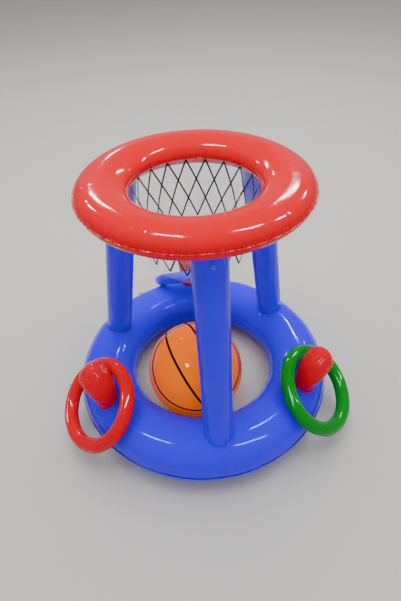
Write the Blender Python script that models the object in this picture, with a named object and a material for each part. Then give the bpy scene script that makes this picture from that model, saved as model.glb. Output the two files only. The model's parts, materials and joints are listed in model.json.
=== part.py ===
"""Inflatable floating basketball hoop with three ring-toss pegs, three toss rings and a ball.

Metres, +Z up. The origin lies on the floor, under the middle of the whole part. The middle line of
the base ring and the hoop stands beside it, at STAND_X, STAND_Y, because the toss rings hang outside
the base ring. Angles called azimuth run from +X towards +Y, about that line.
"""

import math

import bmesh
import bpy
import numpy as np
from mathutils import Matrix, Vector

# The gap that two touching pieces keep
CLEARANCE = 0.0003
# How far a cutter runs past what it cuts
OVERRUN = 0.004

# Where the middle line of the rings stands
STAND_X = -0.0105
STAND_Y = -0.0287

# Base ring: the tube's middle circle and its oval section, which the floor flattens a little
BASE_RADIUS = 0.2377
BASE_HALF_WIDTH = 0.0673
BASE_HALF_HEIGHT = 0.0605
BASE_FLAT_DEPTH = 0.0005

# Hoop: a flatter tube, whose inner edge the film draws down by the dish angle in degrees
HOOP_RADIUS = 0.166
HOOP_HALF_WIDTH = 0.0477
HOOP_HALF_HEIGHT = 0.0273
HOOP_HEIGHT = 0.560
HOOP_DISH = 5.0

# Weld flanges, where the two sheets of a ring meet
SEAM_WIDTH = 0.0022
SEAM_THICKNESS = 0.0009

# Legs: straight tubes that lean inwards. Their middle lines cross the base ring's crown and the hoop's
# middle height a little inside the middle circles of the two tubes.
LEG_RADIUS = 0.0312
LEG_FOOT_INSET = 0.0032
LEG_HEAD_INSET = 0.0141
LEG_AZIMUTHS = {"front": -83.5, "right": 36.5, "left": 156.5}
# How far a foot runs into the base ring before that ring trims it, and how far below the hoop's middle
# a head stops, as shares of the ring's half height
FOOT_RUN_SHARE = 0.45
HEAD_STOP_SHARE = 0.20

# Pegs: narrow at the weld, wide at the domed top, a little outside the middle of the base ring's tube.
# Each leans outwards by its own angle in degrees.
PEG_FOOT_RADIUS = 0.0228
PEG_TOP_RADIUS = 0.0355
PEG_LENGTH = 0.103
PEG_DOME = 0.018
PEG_NECK = 0.008
PEG_OFFSET = 0.0208
PEGS = {
    "right": {"azimuth": -27.3, "lean": 7.0},
    "rear": {"azimuth": 95.5, "lean": 4.0},
    "left": {"azimuth": -147.8, "lean": 2.0},
}

# Weld collars round the feet and heads
COLLAR_WIDTH = 0.0025
COLLAR_THICKNESS = 0.0007

# Toss rings, each leaning on a peg and lying on the base ring's shoulder
TOSS_RADIUS = 0.0887
TOSS_TUBE_RADIUS = 0.0157
TOSS_RINGS = {
    "green": {"peg": "right", "tilt": 40.0, "valve": 170.0},
    "red": {"peg": "left", "tilt": 41.0, "valve": 250.0},
    "blue": {"peg": "rear", "tilt": 41.0, "valve": 275.0},
}

# Net: a clear film skirt that narrows downwards from the hoop's inner seam, printed with a net of lines
FILM_RADIUS = 0.1176
FILM_LOWER_RADIUS = 0.1008
FILM_THICKNESS = 0.0005
FILM_DROP = 0.138
NET_DIAMONDS = 19
NET_LEVELS = 3
NET_DROP = 0.119
NET_LINE_WIDTH = 0.0021
NET_LINE_THICKNESS = 0.0004
NET_AZIMUTH = 97.6

# Ball, lying on the floor inside the base ring, with a gap to the ring on the side where it lies
BALL_RADIUS = 0.1116
BALL_AZIMUTH = -106.7
BALL_SIDE_GAP = 0.0065

# Valves: a stem through the skin, a lug at its rim and a plug on a living hinge
STEM_RADIUS = 0.0045
STEM_BORE_RADIUS = 0.0028
STEM_DEPTH = 0.0060
STEM_OUT = 0.0085
STEM_OUT_PUSHED_IN = 0.0016
LUG_REACH = 0.0072
LUG_WIDTH = 0.0034
LUG_THICKNESS = 0.0010
PLUG_CAP_RADIUS = 0.0046
PLUG_CAP_THICKNESS = 0.0011
PLUG_PIN_RADIUS = 0.0022
PLUG_PIN_TIP_RADIUS = 0.0015
PLUG_PIN_LENGTH = 0.0030
STRAP_REACH = 0.0066
STRAP_WIDTH = 0.0026
STRAP_THICKNESS = 0.0008
PLUG_OPENING = 120.0

# Places of the valves that the legs, the rings and the ball carry. A leg's lies below the hoop's middle.
LEG_VALVE_DROP = 0.0437
BASE_VALVE_AZIMUTH = 126.0
BASE_VALVE_SECTION_ANGLE = 35.0
HOOP_VALVE_AZIMUTH = 96.5
HOOP_VALVE_SECTION_ANGLE = -50.0
BALL_VALVE_AZIMUTH = 60.0
BALL_VALVE_ELEVATION = 50.0

# Facets
RING_STEPS = 64
BASE_SECTION_SIDES = 22
HOOP_SECTION_SIDES = 18
TUBE_SIDES = 24
TOSS_STEPS = 36
TOSS_SECTION_SIDES = 10
PEG_FLARE_STEPS = 4
PEG_DOME_STEPS = 5
BALL_SIDES = 28
BALL_ROWS = 14
STEM_SIDES = 12
SHARP_ANGLE = 40.0

# How finely a toss ring's seat is searched for: halvings of the range, and points along a half circle
SEAT_HALVINGS = 50
SEAT_POINTS = 181

# Colours: linear RGB, with roughness and alpha
BLUE_PVC = ("blue PVC", (0.045, 0.085, 0.62), 0.22, 1.0)
RED_PVC = ("red PVC", (0.72, 0.04, 0.035), 0.22, 1.0)
GREEN_PVC = ("green PVC", (0.01, 0.28, 0.02), 0.22, 1.0)
ORANGE_PVC = ("orange PVC", (0.95, 0.26, 0.01), 0.25, 1.0)
CLEAR_PVC = ("clear PVC", (0.85, 0.87, 0.90), 0.10, 0.25)
BLACK_INK = ("black ink", (0.012, 0.012, 0.014), 0.45, 1.0)

UP = Vector((0, 0, 1))


def material(finish):
    """The Principled material of a finish, made once."""
    name, colour, roughness, alpha = finish
    made = bpy.data.materials.get(name)
    if made:
        return made
    made = bpy.data.materials.new(name)
    made.use_nodes = True
    made.diffuse_color = (*colour, alpha)
    shader = made.node_tree.nodes["Principled BSDF"]
    shader.inputs["Base Color"].default_value = (*colour, 1.0)
    shader.inputs["Roughness"].default_value = roughness
    shader.inputs["Metallic"].default_value = 0.0
    shader.inputs["Alpha"].default_value = alpha
    return made


def add_object(name, mesh_builder, finish, place, smooth=True):
    """A mesh object from a filled bmesh, placed by a matrix in the part's own frame."""
    mesh = bpy.data.meshes.new(name)
    bmesh.ops.recalc_face_normals(mesh_builder, faces=mesh_builder.faces)
    mesh_builder.to_mesh(mesh)
    mesh_builder.free()
    if smooth:
        mesh.shade_smooth()
        mesh.set_sharp_from_angle(angle=math.radians(SHARP_ANGLE))
    made = bpy.data.objects.new(name, mesh)
    bpy.context.scene.collection.objects.link(made)
    if finish:
        mesh.materials.append(material(finish))
    made.parent = stand
    made.matrix_local = place
    return made


def hide_cutter(cutter):
    """Leaves a cutter out of renders and shows it as wire."""
    cutter.hide_render = True
    cutter.display_type = "WIRE"
    return cutter


def boolean(target, cutter, operation):
    """Adds an exact Boolean to a target."""
    modifier = target.modifiers.new(f"{operation.lower()} {cutter.name}", "BOOLEAN")
    modifier.operation = operation
    modifier.object = cutter
    modifier.solver = "EXACT"


def placed(origin, z_axis, x_axis=None):
    """The matrix of a frame with its +Z along z_axis and its +X as near x_axis as can be."""
    z = Vector(z_axis).normalized()
    x = Vector(x_axis) if x_axis is not None else UP.orthogonal() if abs(z.dot(UP)) > 0.99 else UP
    x = (x - z * x.dot(z)).normalized()
    y = z.cross(x)
    matrix = Matrix((x, y, z)).transposed().to_4x4()
    matrix.translation = Vector(origin)
    return matrix


def outwards(azimuth):
    """The level unit vector at an azimuth in degrees."""
    angle = math.radians(azimuth)
    return Vector((math.cos(angle), math.sin(angle), 0))


def sideways(azimuth):
    """The level unit vector a quarter turn on from an azimuth."""
    return outwards(azimuth + 90)


def oval_point(centre, half_sizes, turn, dish=0.0):
    """The point (radius, height) of an oval section at a turn in radians from its outer end.

    The centre is (radius, height), and the dish in degrees lowers the inner end and lifts the outer one.
    """
    out, up = half_sizes[0] * math.cos(turn), half_sizes[1] * math.sin(turn)
    tip = math.radians(dish)
    radius = centre[0] + out * math.cos(tip) - up * math.sin(tip)
    return radius, centre[1] + out * math.sin(tip) + up * math.cos(tip)


def oval(centre, half_sizes, sides, dish=0.0):
    """Points (radius, height) round an oval section, the first at its outer end."""
    return [oval_point(centre, half_sizes, 2 * math.pi * i / sides, dish) for i in range(sides)]


def spun(outline, steps, closed=True):
    """A bmesh of an outline of (radius, height) points turned about Z.

    A closed outline becomes a ring. An open one runs from the axis to the axis.
    """
    built = bmesh.new()
    rims = []
    for radius, height in outline:
        if radius == 0:
            rims.append([built.verts.new((0, 0, height))])
            continue
        turns = [2 * math.pi * i / steps for i in range(steps)]
        rims.append([built.verts.new((radius * math.cos(t), radius * math.sin(t), height)) for t in turns])
    pairs = list(zip(rims, rims[1:] + rims[:1])) if closed else list(zip(rims, rims[1:]))
    for low, high in pairs:
        for i in range(steps):
            j = (i + 1) % steps
            corners = [low[i % len(low)], low[j % len(low)], high[j % len(high)], high[i % len(high)]]
            built.faces.new(list(dict.fromkeys(corners)))
    return built


def box(low, high):
    """A bmesh box between two corners."""
    built = bmesh.new()
    bmesh.ops.create_cube(built, size=1)
    for vertex in built.verts:
        vertex.co = Vector([l + (v + 0.5) * (h - l) for l, h, v in zip(low, high, vertex.co)])
    return built


BASE_HEIGHT = BASE_HALF_HEIGHT - BASE_FLAT_DEPTH
BASE_CENTRE = (BASE_RADIUS, BASE_HEIGHT)
BASE_HALF_SIZES = (BASE_HALF_WIDTH, BASE_HALF_HEIGHT)
HOOP_CENTRE = (HOOP_RADIUS, HOOP_HEIGHT)
HOOP_HALF_SIZES = (HOOP_HALF_WIDTH, HOOP_HALF_HEIGHT)
HOOP_OUTER_EDGE = oval_point(HOOP_CENTRE, HOOP_HALF_SIZES, 0, HOOP_DISH)
HOOP_INNER_EDGE = oval_point(HOOP_CENTRE, HOOP_HALF_SIZES, math.pi, HOOP_DISH)
FILM_TOP = HOOP_INNER_EDGE[1] - SEAM_THICKNESS / 2 - CLEARANCE
BASE_INNER_REACH = BASE_RADIUS - BASE_HALF_WIDTH - CLEARANCE - SEAM_WIDTH
PEG_REACH = BASE_RADIUS + PEG_OFFSET


def base_section(grown=0.0):
    """The base ring's section, grown outwards, with its lowest edge on the floor."""
    points = oval(BASE_CENTRE, [half + grown for half in BASE_HALF_SIZES], BASE_SECTION_SIDES)
    flat = sorted(range(BASE_SECTION_SIDES), key=lambda i: points[i][1])[:2]
    return [(radius, -grown if i in flat else height) for i, (radius, height) in enumerate(points)]


def hoop_section(grown=0.0):
    """The hoop's section, grown outwards."""
    return oval(HOOP_CENTRE, [half + grown for half in HOOP_HALF_SIZES], HOOP_SECTION_SIDES, HOOP_DISH)


def ring_cutter(name, section):
    """A hidden copy of a ring with a grown section, to cut or trim pieces against."""
    return hide_cutter(add_object(name, spun(section, RING_STEPS), None, Matrix()))


def flange(name, inner, height, finish):
    """A flat weld flange with its inner edge at a radius."""
    half = SEAM_THICKNESS / 2
    low, high = height - half, height + half
    outer = inner + SEAM_WIDTH
    section = [(inner, low), (outer, low), (outer, high), (inner, high)]
    return add_object(name, spun(section, RING_STEPS), finish, Matrix(), smooth=False)


def collar(name, start, axis, length, radius, shells, finish):
    """The weld collar round a tube: a band of the ring's own surface, cut by two grown shells.

    The band is cut from a pipe of the given length, which starts inside the ring.
    """
    inner, outer = shells
    hole = radius + CLEARANCE
    rim = hole + COLLAR_WIDTH
    outline = [(hole, 0), (rim, 0), (rim, length), (hole, length)]
    made = add_object(name, spun(outline, TUBE_SIDES), finish, placed(start, axis))
    boolean(made, outer, "INTERSECT")
    boolean(made, inner, "DIFFERENCE")
    return made


def ring_point(centre, half_sizes, azimuth, angle, dish=0.0):
    """A point of a ring's surface and its outward normal, at a section angle in degrees."""
    turn = math.radians(angle)
    radius, height = oval_point(centre, half_sizes, turn, dish)
    slopes = (1 / half_sizes[0], 1 / half_sizes[1])
    normal_out, normal_up = oval_point((0, 0), slopes, turn, dish)
    out = outwards(azimuth)
    return out * radius + UP * height, (out * normal_out + UP * normal_up).normalized()


def make_base_ring():
    """The large tube that floats, or stands on a floor."""
    made = add_object("base_ring", spun(base_section(), RING_STEPS), BLUE_PVC, Matrix())
    flange("base_outer_seam", BASE_RADIUS + BASE_HALF_WIDTH + CLEARANCE, BASE_HEIGHT, BLUE_PVC)
    flange("base_inner_seam", BASE_INNER_REACH, BASE_HEIGHT, BLUE_PVC)
    return made


def make_hoop():
    """The target ring."""
    made = add_object("hoop_ring", spun(hoop_section(), RING_STEPS), RED_PVC, Matrix())
    outer, inner = HOOP_OUTER_EDGE, HOOP_INNER_EDGE
    flange("hoop_outer_seam", outer[0] + CLEARANCE, outer[1], RED_PVC)
    flange("hoop_inner_seam", inner[0] - CLEARANCE - SEAM_WIDTH, inner[1], RED_PVC)
    return made


def leg_axis(azimuth):
    """The foot and head of a leg's middle line, on the base ring's crown and inside the hoop."""
    foot = outwards(azimuth) * (BASE_RADIUS - LEG_FOOT_INSET) + UP * (BASE_HEIGHT + BASE_HALF_HEIGHT)
    head = outwards(azimuth) * (HOOP_RADIUS - LEG_HEAD_INSET) + UP * HOOP_HEIGHT
    return foot, head


def leg_matrix(azimuth):
    """The frame of a leg: +Z up its middle line, +X outwards, its origin at the foot."""
    foot, head = leg_axis(azimuth)
    return placed(foot, head - foot, outwards(azimuth))


def make_legs(base_shells, hoop_shells):
    """Three legs, trimmed by the rings that they are welded to, with a weld collar at each end."""
    legs = {}
    for side, azimuth in LEG_AZIMUTHS.items():
        foot, head = leg_axis(azimuth)
        axis = (head - foot).normalized()
        low = -BASE_HALF_HEIGHT * FOOT_RUN_SHARE
        stop = HOOP_HALF_HEIGHT * HEAD_STOP_SHARE
        high = (head - foot).length - stop
        outline = [(0, low), (LEG_RADIUS, low), (LEG_RADIUS, high), (0, high)]
        built = spun(outline, TUBE_SIDES, closed=False)
        leg = add_object(f"leg_{side}", built, BLUE_PVC, leg_matrix(azimuth))
        boolean(leg, base_shells[0], "DIFFERENCE")
        boolean(leg, hoop_shells[0], "DIFFERENCE")
        legs[side] = leg
        reach = 2 * BASE_HALF_HEIGHT
        down = foot - axis * BASE_HALF_HEIGHT
        collar(f"leg_{side}_foot_weld", down, axis, reach, LEG_RADIUS, base_shells, BLUE_PVC)
        reach = 2 * HOOP_HALF_HEIGHT
        top = head - axis * stop
        collar(f"leg_{side}_head_weld", top, -axis, reach, LEG_RADIUS, hoop_shells, RED_PVC)
    return legs


def base_crown_height(reach):
    """The height of the base ring's upper surface at a reach from the middle line."""
    share = (reach - BASE_RADIUS) / BASE_HALF_WIDTH
    return BASE_HEIGHT + BASE_HALF_HEIGHT * math.sqrt(max(0.0, 1 - share * share))


def peg_frame(side):
    """The foot and direction of a peg's middle line."""
    out = outwards(PEGS[side]["azimuth"])
    lean = math.radians(PEGS[side]["lean"])
    return out * PEG_REACH + UP * base_crown_height(PEG_REACH), out * math.sin(lean) + UP * math.cos(lean)


def peg_outline():
    """The peg from inside the base ring to the top of its dome."""
    low = -BASE_HALF_HEIGHT * FOOT_RUN_SHARE
    shoulder = PEG_LENGTH - PEG_DOME
    points = [(0, low), (PEG_FOOT_RADIUS, low)]
    for i in range(PEG_FLARE_STEPS):
        share = i / PEG_FLARE_STEPS
        radius = PEG_FOOT_RADIUS + (PEG_TOP_RADIUS - PEG_FOOT_RADIUS) * share
        points.append((radius, PEG_NECK + (shoulder - PEG_NECK) * share))
    for i in range(PEG_DOME_STEPS):
        turn = math.pi / 2 * i / PEG_DOME_STEPS
        points.append((PEG_TOP_RADIUS * math.cos(turn), shoulder + PEG_DOME * math.sin(turn)))
    points.append((0, PEG_LENGTH))
    return points


def make_pegs(base_shells):
    """Three pegs, trimmed by the base ring, each with a weld collar."""
    for side, peg in PEGS.items():
        foot, axis = peg_frame(side)
        built = spun(peg_outline(), TUBE_SIDES, closed=False)
        made = add_object(f"peg_{side}", built, RED_PVC, placed(foot, axis, outwards(peg["azimuth"])))
        boolean(made, base_shells[0], "DIFFERENCE")
        down = foot - axis * BASE_HALF_HEIGHT * FOOT_RUN_SHARE
        collar(f"peg_{side}_foot_weld", down, axis, BASE_HALF_HEIGHT, PEG_FOOT_RADIUS, base_shells, RED_PVC)


def peg_side_gap(reach, height, lean):
    """How far a point inside the pegs' circle lies from a peg's inner side, in the plane through both."""
    taper = math.atan((PEG_TOP_RADIUS - PEG_FOOT_RADIUS) / (PEG_LENGTH - PEG_DOME - PEG_NECK))
    rise = height - base_crown_height(PEG_REACH)
    run = reach - PEG_REACH
    along = run * math.sin(lean) + rise * math.cos(lean)
    across = -(run * math.cos(lean) - rise * math.sin(lean))
    radius = PEG_FOOT_RADIUS + (along - PEG_NECK) * math.tan(taper)
    return (across - radius) * math.cos(taper)


def base_gap(reach, height, tilt):
    """The least distance from a toss ring's middle circle to the base ring's surface."""
    turns = np.linspace(0, 2 * math.pi, 2 * SEAT_POINTS)
    surface_reach = BASE_RADIUS + BASE_HALF_WIDTH * np.cos(turns)
    surface_height = BASE_HEIGHT + BASE_HALF_HEIGHT * np.sin(turns)
    around = np.linspace(0, math.pi, SEAT_POINTS)
    inwards = TOSS_RADIUS * np.cos(around)
    across = TOSS_RADIUS * np.sin(around)
    circle_reach = np.hypot(reach - inwards * math.cos(tilt), across)
    circle_height = height + inwards * math.sin(tilt)
    gaps = np.hypot(circle_reach[:, None] - surface_reach, circle_height[:, None] - surface_height)
    return float(gaps.min())


def toss_reach(height, tilt, lean):
    """The reach at which a toss ring's upper side leans on its peg."""
    low, high = PEG_REACH, PEG_REACH + TOSS_RADIUS
    for _ in range(SEAT_HALVINGS):
        reach = (low + high) / 2
        top_reach = reach - TOSS_RADIUS * math.cos(tilt)
        gap = peg_side_gap(top_reach, height + TOSS_RADIUS * math.sin(tilt), lean) - TOSS_TUBE_RADIUS
        low, high = (reach, high) if gap > CLEARANCE else (low, reach)
    return low


def toss_seat(tilt, lean):
    """The reach and height of a toss ring's middle: leaning on its peg, lying on the base ring."""
    low, high = BASE_HEIGHT, BASE_HEIGHT + BASE_HALF_HEIGHT + TOSS_RADIUS
    for _ in range(SEAT_HALVINGS):
        height = (low + high) / 2
        gap = base_gap(toss_reach(height, tilt, lean), height, tilt) - TOSS_TUBE_RADIUS
        low, high = (low, height) if gap > CLEARANCE else (height, high)
    return toss_reach(high, tilt, lean), high


def make_toss_rings():
    """Three toss rings where they hang, each with its valve on its outer edge."""
    finishes = {"red": RED_PVC, "green": GREEN_PVC, "blue": BLUE_PVC}
    for colour, place in TOSS_RINGS.items():
        azimuth = PEGS[place["peg"]]["azimuth"]
        tilt = math.radians(place["tilt"])
        reach, height = toss_seat(tilt, math.radians(PEGS[place["peg"]]["lean"]))
        centre = outwards(azimuth) * reach + UP * height
        normal = outwards(azimuth) * math.sin(tilt) + UP * math.cos(tilt)
        upper = -outwards(azimuth) * math.cos(tilt) + UP * math.sin(tilt)
        section = oval((TOSS_RADIUS, 0), (TOSS_TUBE_RADIUS, TOSS_TUBE_RADIUS), TOSS_SECTION_SIDES)
        built = spun(section, TOSS_STEPS)
        ring = add_object(f"toss_ring_{colour}", built, finishes[colour], placed(centre, normal, upper))
        turn = math.radians(place["valve"])
        spoke = upper * math.cos(turn) + sideways(azimuth) * math.sin(turn)
        point = centre + spoke * (TOSS_RADIUS + TOSS_TUBE_RADIUS)
        make_valve(f"toss_ring_{colour}", ring, point, spoke, normal, STEM_OUT)
        print(f"toss ring {colour}: centre {centre + stand.location}, normal {normal}")


def film_radius(height):
    """The radius of the film's outer face at a height."""
    share = (FILM_TOP - height) / FILM_DROP
    return FILM_RADIUS + (FILM_LOWER_RADIUS - FILM_RADIUS) * share + FILM_THICKNESS / 2


def make_film():
    """The clear skirt. Its sides are the net's half diamonds, so the printed lines lie flat on it."""
    low = FILM_TOP - FILM_DROP
    outer = [(film_radius(low), low), (film_radius(FILM_TOP), FILM_TOP)]
    inner = [(radius - FILM_THICKNESS, height) for radius, height in reversed(outer)]
    turn = Matrix.Rotation(math.radians(NET_AZIMUTH), 4, "Z")
    built = spun(outer + inner, 2 * NET_DIAMONDS)
    return add_object("net_film", built, CLEAR_PVC, turn, smooth=False)


def net_corners(level, column):
    """The corners of the place where two printed lines cross: above, below and on either side of it."""
    columns = 2 * NET_DIAMONDS
    cell_height = NET_DROP / NET_LEVELS
    lift = CLEARANCE / math.cos(math.pi / columns)
    cell_width = 2 * math.pi * film_radius(FILM_TOP - cell_height * level) / columns
    slope = math.atan2(cell_height, cell_width)
    half_high = NET_LINE_WIDTH / 2 / math.cos(slope)
    half_turn = NET_LINE_WIDTH / 2 / math.sin(slope) / cell_width
    middle = FILM_TOP - half_high - cell_height * level

    def point(shift, rise):
        whole = math.floor(column + shift)
        ends = [outwards(360 * (whole + i) / columns) for i in (0, 1)]
        height = middle + rise
        return ends[0].lerp(ends[1], column + shift - whole) * (film_radius(height) + lift) + UP * height

    places = {"upper": point(0, half_high), "lower": point(0, -half_high)}
    if 0 < level < NET_LEVELS:
        places["left"] = point(-half_turn, 0)
        places["right"] = point(half_turn, 0)
    return places


def make_net_print():
    """The printed net: one layer of crossing lines on the outside of the film."""
    columns = 2 * NET_DIAMONDS
    built = bmesh.new()
    corners = {}
    for level in range(NET_LEVELS + 1):
        for column in range(level % 2, columns, 2):
            places = net_corners(level, column)
            corners[level, column] = {name: built.verts.new(place) for name, place in places.items()}
    for (level, column), here in corners.items():
        if "left" in here:
            built.faces.new([here["upper"], here["left"], here["lower"]])
            built.faces.new([here["upper"], here["lower"], here["right"]])
        if level == NET_LEVELS:
            continue
        for way in (-1, 1):
            there = corners[level + 1, (column + way) % columns]
            near, far = ("left", "right") if way < 0 else ("right", "left")
            start = [here.get(near, here["upper"]), here["lower"]]
            end = [there.get(far, there["lower"]), there["upper"]]
            built.faces.new(list(dict.fromkeys(start + end)))
    turn = Matrix.Rotation(math.radians(NET_AZIMUTH), 4, "Z")
    net = add_object("net_print", built, BLACK_INK, turn, smooth=False)
    layer = net.modifiers.new("line thickness", "SOLIDIFY")
    layer.thickness = NET_LINE_THICKNESS
    layer.offset = 1.0
    return net


def make_ball():
    """The ball, and its valve on the side that the hoop's legs hide."""
    outline = [(0, -BALL_RADIUS)]
    for i in range(1, BALL_ROWS):
        turn = math.pi * i / BALL_ROWS
        outline.append((BALL_RADIUS * math.sin(turn), -BALL_RADIUS * math.cos(turn)))
    outline.append((0, BALL_RADIUS))
    rise = BALL_RADIUS + CLEARANCE - BASE_HEIGHT
    half_chord = math.sqrt(BALL_RADIUS * BALL_RADIUS - rise * rise)
    reach = BASE_INNER_REACH - BALL_SIDE_GAP - half_chord
    centre = outwards(BALL_AZIMUTH) * reach + UP * (BALL_RADIUS + CLEARANCE)
    ball = add_object("ball", spun(outline, BALL_SIDES, closed=False), ORANGE_PVC, placed(centre, UP))
    lift = math.radians(BALL_VALVE_ELEVATION)
    spoke = outwards(BALL_VALVE_AZIMUTH) * math.cos(lift) + UP * math.sin(lift)
    point = centre + spoke * BALL_RADIUS
    make_valve("ball", ball, point, spoke, sideways(BALL_VALVE_AZIMUTH), STEM_OUT_PUSHED_IN)


def make_valve(owner, body, point, normal, along, stem_out):
    """A valve in a body's skin: the stem in its hole, and the plug hinged on the stem's lug.

    The hinge lies on the local +X side of the stem, which points along the given direction.
    """
    place = placed(point, normal, along)
    hole_radius = STEM_RADIUS + CLEARANCE
    hole_depth = STEM_DEPTH + CLEARANCE
    hole_outline = [(0, -hole_depth), (hole_radius, -hole_depth), (hole_radius, OVERRUN), (0, OVERRUN)]
    hole = add_object(f"{owner}_valve_hole", spun(hole_outline, STEM_SIDES, closed=False), None, place)
    boolean(body, hide_cutter(hole), "DIFFERENCE")

    stem_outline = [
        (STEM_BORE_RADIUS, -STEM_DEPTH),
        (STEM_RADIUS, -STEM_DEPTH),
        (STEM_RADIUS, stem_out),
        (STEM_BORE_RADIUS, stem_out),
    ]
    stem = add_object(f"{owner}_valve", spun(stem_outline, STEM_SIDES), CLEAR_PVC, place, smooth=False)
    wall_middle = (STEM_BORE_RADIUS + STEM_RADIUS) / 2
    lug_low = (wall_middle, -LUG_WIDTH / 2, stem_out - LUG_THICKNESS)
    lug_high = (LUG_REACH, LUG_WIDTH / 2, stem_out)
    lug = add_object(f"{owner}_valve_lug", box(lug_low, lug_high), None, place, smooth=False)
    boolean(stem, hide_cutter(lug), "UNION")

    seat = stem_out + CLEARANCE
    hinge = Matrix.Translation((STRAP_REACH, 0, seat + STRAP_THICKNESS / 2))
    from_hinge = hinge.inverted()
    cap_top = seat + PLUG_CAP_THICKNESS
    plug_outline = [
        (0, stem_out - PLUG_PIN_LENGTH),
        (PLUG_PIN_TIP_RADIUS, stem_out - PLUG_PIN_LENGTH),
        (PLUG_PIN_RADIUS, seat),
        (PLUG_CAP_RADIUS, seat),
        (PLUG_CAP_RADIUS, cap_top),
        (0, cap_top),
    ]
    built = spun(plug_outline, STEM_SIDES, closed=False)
    built.transform(from_hinge)
    plug = add_object(f"{owner}_valve_plug", built, CLEAR_PVC, place @ hinge, smooth=False)
    strap_low = (PLUG_PIN_RADIUS, -STRAP_WIDTH / 2, seat)
    strap_high = (STRAP_REACH + STRAP_THICKNESS / 2, STRAP_WIDTH / 2, seat + STRAP_THICKNESS)
    built = box(strap_low, strap_high)
    built.transform(from_hinge)
    strap = add_object(f"{owner}_valve_strap", built, None, place @ hinge, smooth=False)
    boolean(plug, hide_cutter(strap), "UNION")

    world = Matrix.Translation(stand.location) @ place @ hinge
    opening = world.to_3x3() @ Vector((0, 1, 0))
    print(f"plug hinge {owner}: at {world.translation}, axis {opening}, opens {PLUG_OPENING} degrees")
    return stem


def make_fixed_valves(base, hoop, legs):
    """The pushed-in valves of the base ring, the hoop and the legs."""
    point, normal = ring_point(BASE_CENTRE, BASE_HALF_SIZES, BASE_VALVE_AZIMUTH, BASE_VALVE_SECTION_ANGLE)
    make_valve("base", base, point, normal, sideways(BASE_VALVE_AZIMUTH), STEM_OUT_PUSHED_IN)
    place = (HOOP_VALVE_AZIMUTH, HOOP_VALVE_SECTION_ANGLE)
    point, normal = ring_point(HOOP_CENTRE, HOOP_HALF_SIZES, *place, HOOP_DISH)
    make_valve("hoop", hoop, point, normal, sideways(HOOP_VALVE_AZIMUTH), STEM_OUT_PUSHED_IN)
    for side, azimuth in LEG_AZIMUTHS.items():
        foot, head = leg_axis(azimuth)
        axis = (head - foot).normalized()
        out = leg_matrix(azimuth).to_3x3() @ Vector((1, 0, 0))
        point = head - axis * LEG_VALVE_DROP + out * LEG_RADIUS
        make_valve(f"leg_{side}", legs[side], point, out, axis, STEM_OUT_PUSHED_IN)


for old in list(bpy.data.objects):
    bpy.data.objects.remove(old, do_unlink=True)

stand = bpy.data.objects.new("stand", None)
stand.location = (STAND_X, STAND_Y, 0)
bpy.context.scene.collection.objects.link(stand)

shell_sizes = {"inner": CLEARANCE, "outer": CLEARANCE + COLLAR_THICKNESS}
base_cutters = [ring_cutter(f"base_{side}_shell", base_section(size)) for side, size in shell_sizes.items()]
hoop_cutters = [ring_cutter(f"hoop_{side}_shell", hoop_section(size)) for side, size in shell_sizes.items()]
base_ring = make_base_ring()
hoop_ring = make_hoop()
leg_tubes = make_legs(base_cutters, hoop_cutters)
make_pegs(base_cutters)
make_toss_rings()
make_film()
make_net_print()
make_ball()
make_fixed_valves(base_ring, hoop_ring, leg_tubes)
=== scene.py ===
# %% [markdown]
# # A floating basketball hoop
# A pool toy made of soft PVC film: a blue base ring, three blue legs, a red hoop with a clear skirt
# that is printed with a net, three red pegs, three toss rings and a ball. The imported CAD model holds
# every size and place. This script loads it, and builds a finely modelled skin for each air chamber.

# %% Load the frame
import json
import math

import bmesh
import bpy
import numpy as np
from mathutils import Matrix, Vector

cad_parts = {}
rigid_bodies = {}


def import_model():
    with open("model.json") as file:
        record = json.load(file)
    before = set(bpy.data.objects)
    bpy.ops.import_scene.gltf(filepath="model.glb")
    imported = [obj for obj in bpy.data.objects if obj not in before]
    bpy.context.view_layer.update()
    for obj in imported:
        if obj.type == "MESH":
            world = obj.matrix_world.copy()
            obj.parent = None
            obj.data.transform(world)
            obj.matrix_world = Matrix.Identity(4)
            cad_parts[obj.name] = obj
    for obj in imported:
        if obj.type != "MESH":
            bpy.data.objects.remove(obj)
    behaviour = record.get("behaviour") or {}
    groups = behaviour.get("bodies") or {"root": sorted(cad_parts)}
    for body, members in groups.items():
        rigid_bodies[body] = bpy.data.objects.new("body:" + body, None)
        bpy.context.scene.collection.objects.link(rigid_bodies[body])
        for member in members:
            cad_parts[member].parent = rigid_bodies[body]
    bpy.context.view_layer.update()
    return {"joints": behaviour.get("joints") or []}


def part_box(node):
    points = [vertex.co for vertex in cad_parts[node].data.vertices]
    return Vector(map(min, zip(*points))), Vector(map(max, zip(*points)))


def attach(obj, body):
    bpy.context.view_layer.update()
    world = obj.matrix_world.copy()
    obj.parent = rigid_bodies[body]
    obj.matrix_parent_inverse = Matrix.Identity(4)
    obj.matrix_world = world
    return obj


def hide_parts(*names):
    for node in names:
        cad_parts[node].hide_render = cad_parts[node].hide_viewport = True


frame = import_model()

# %% [markdown]
# ## Sizes
# The chambers are all swept ovals and tubes, so a few radii describe them. They repeat the CAD's
# driving sizes, in metres. Where the rings stand comes from the frame itself: the middle of the
# hoop's box is the line that the whole toy is built about.

# %% Sizes of the chambers
hoop_low, hoop_high = (np.array(corner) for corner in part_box("hoop_ring"))
STAND = np.array([(hoop_low[0] + hoop_high[0]) / 2, (hoop_low[1] + hoop_high[1]) / 2, 0.0])
CLEARANCE = 0.0003

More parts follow.
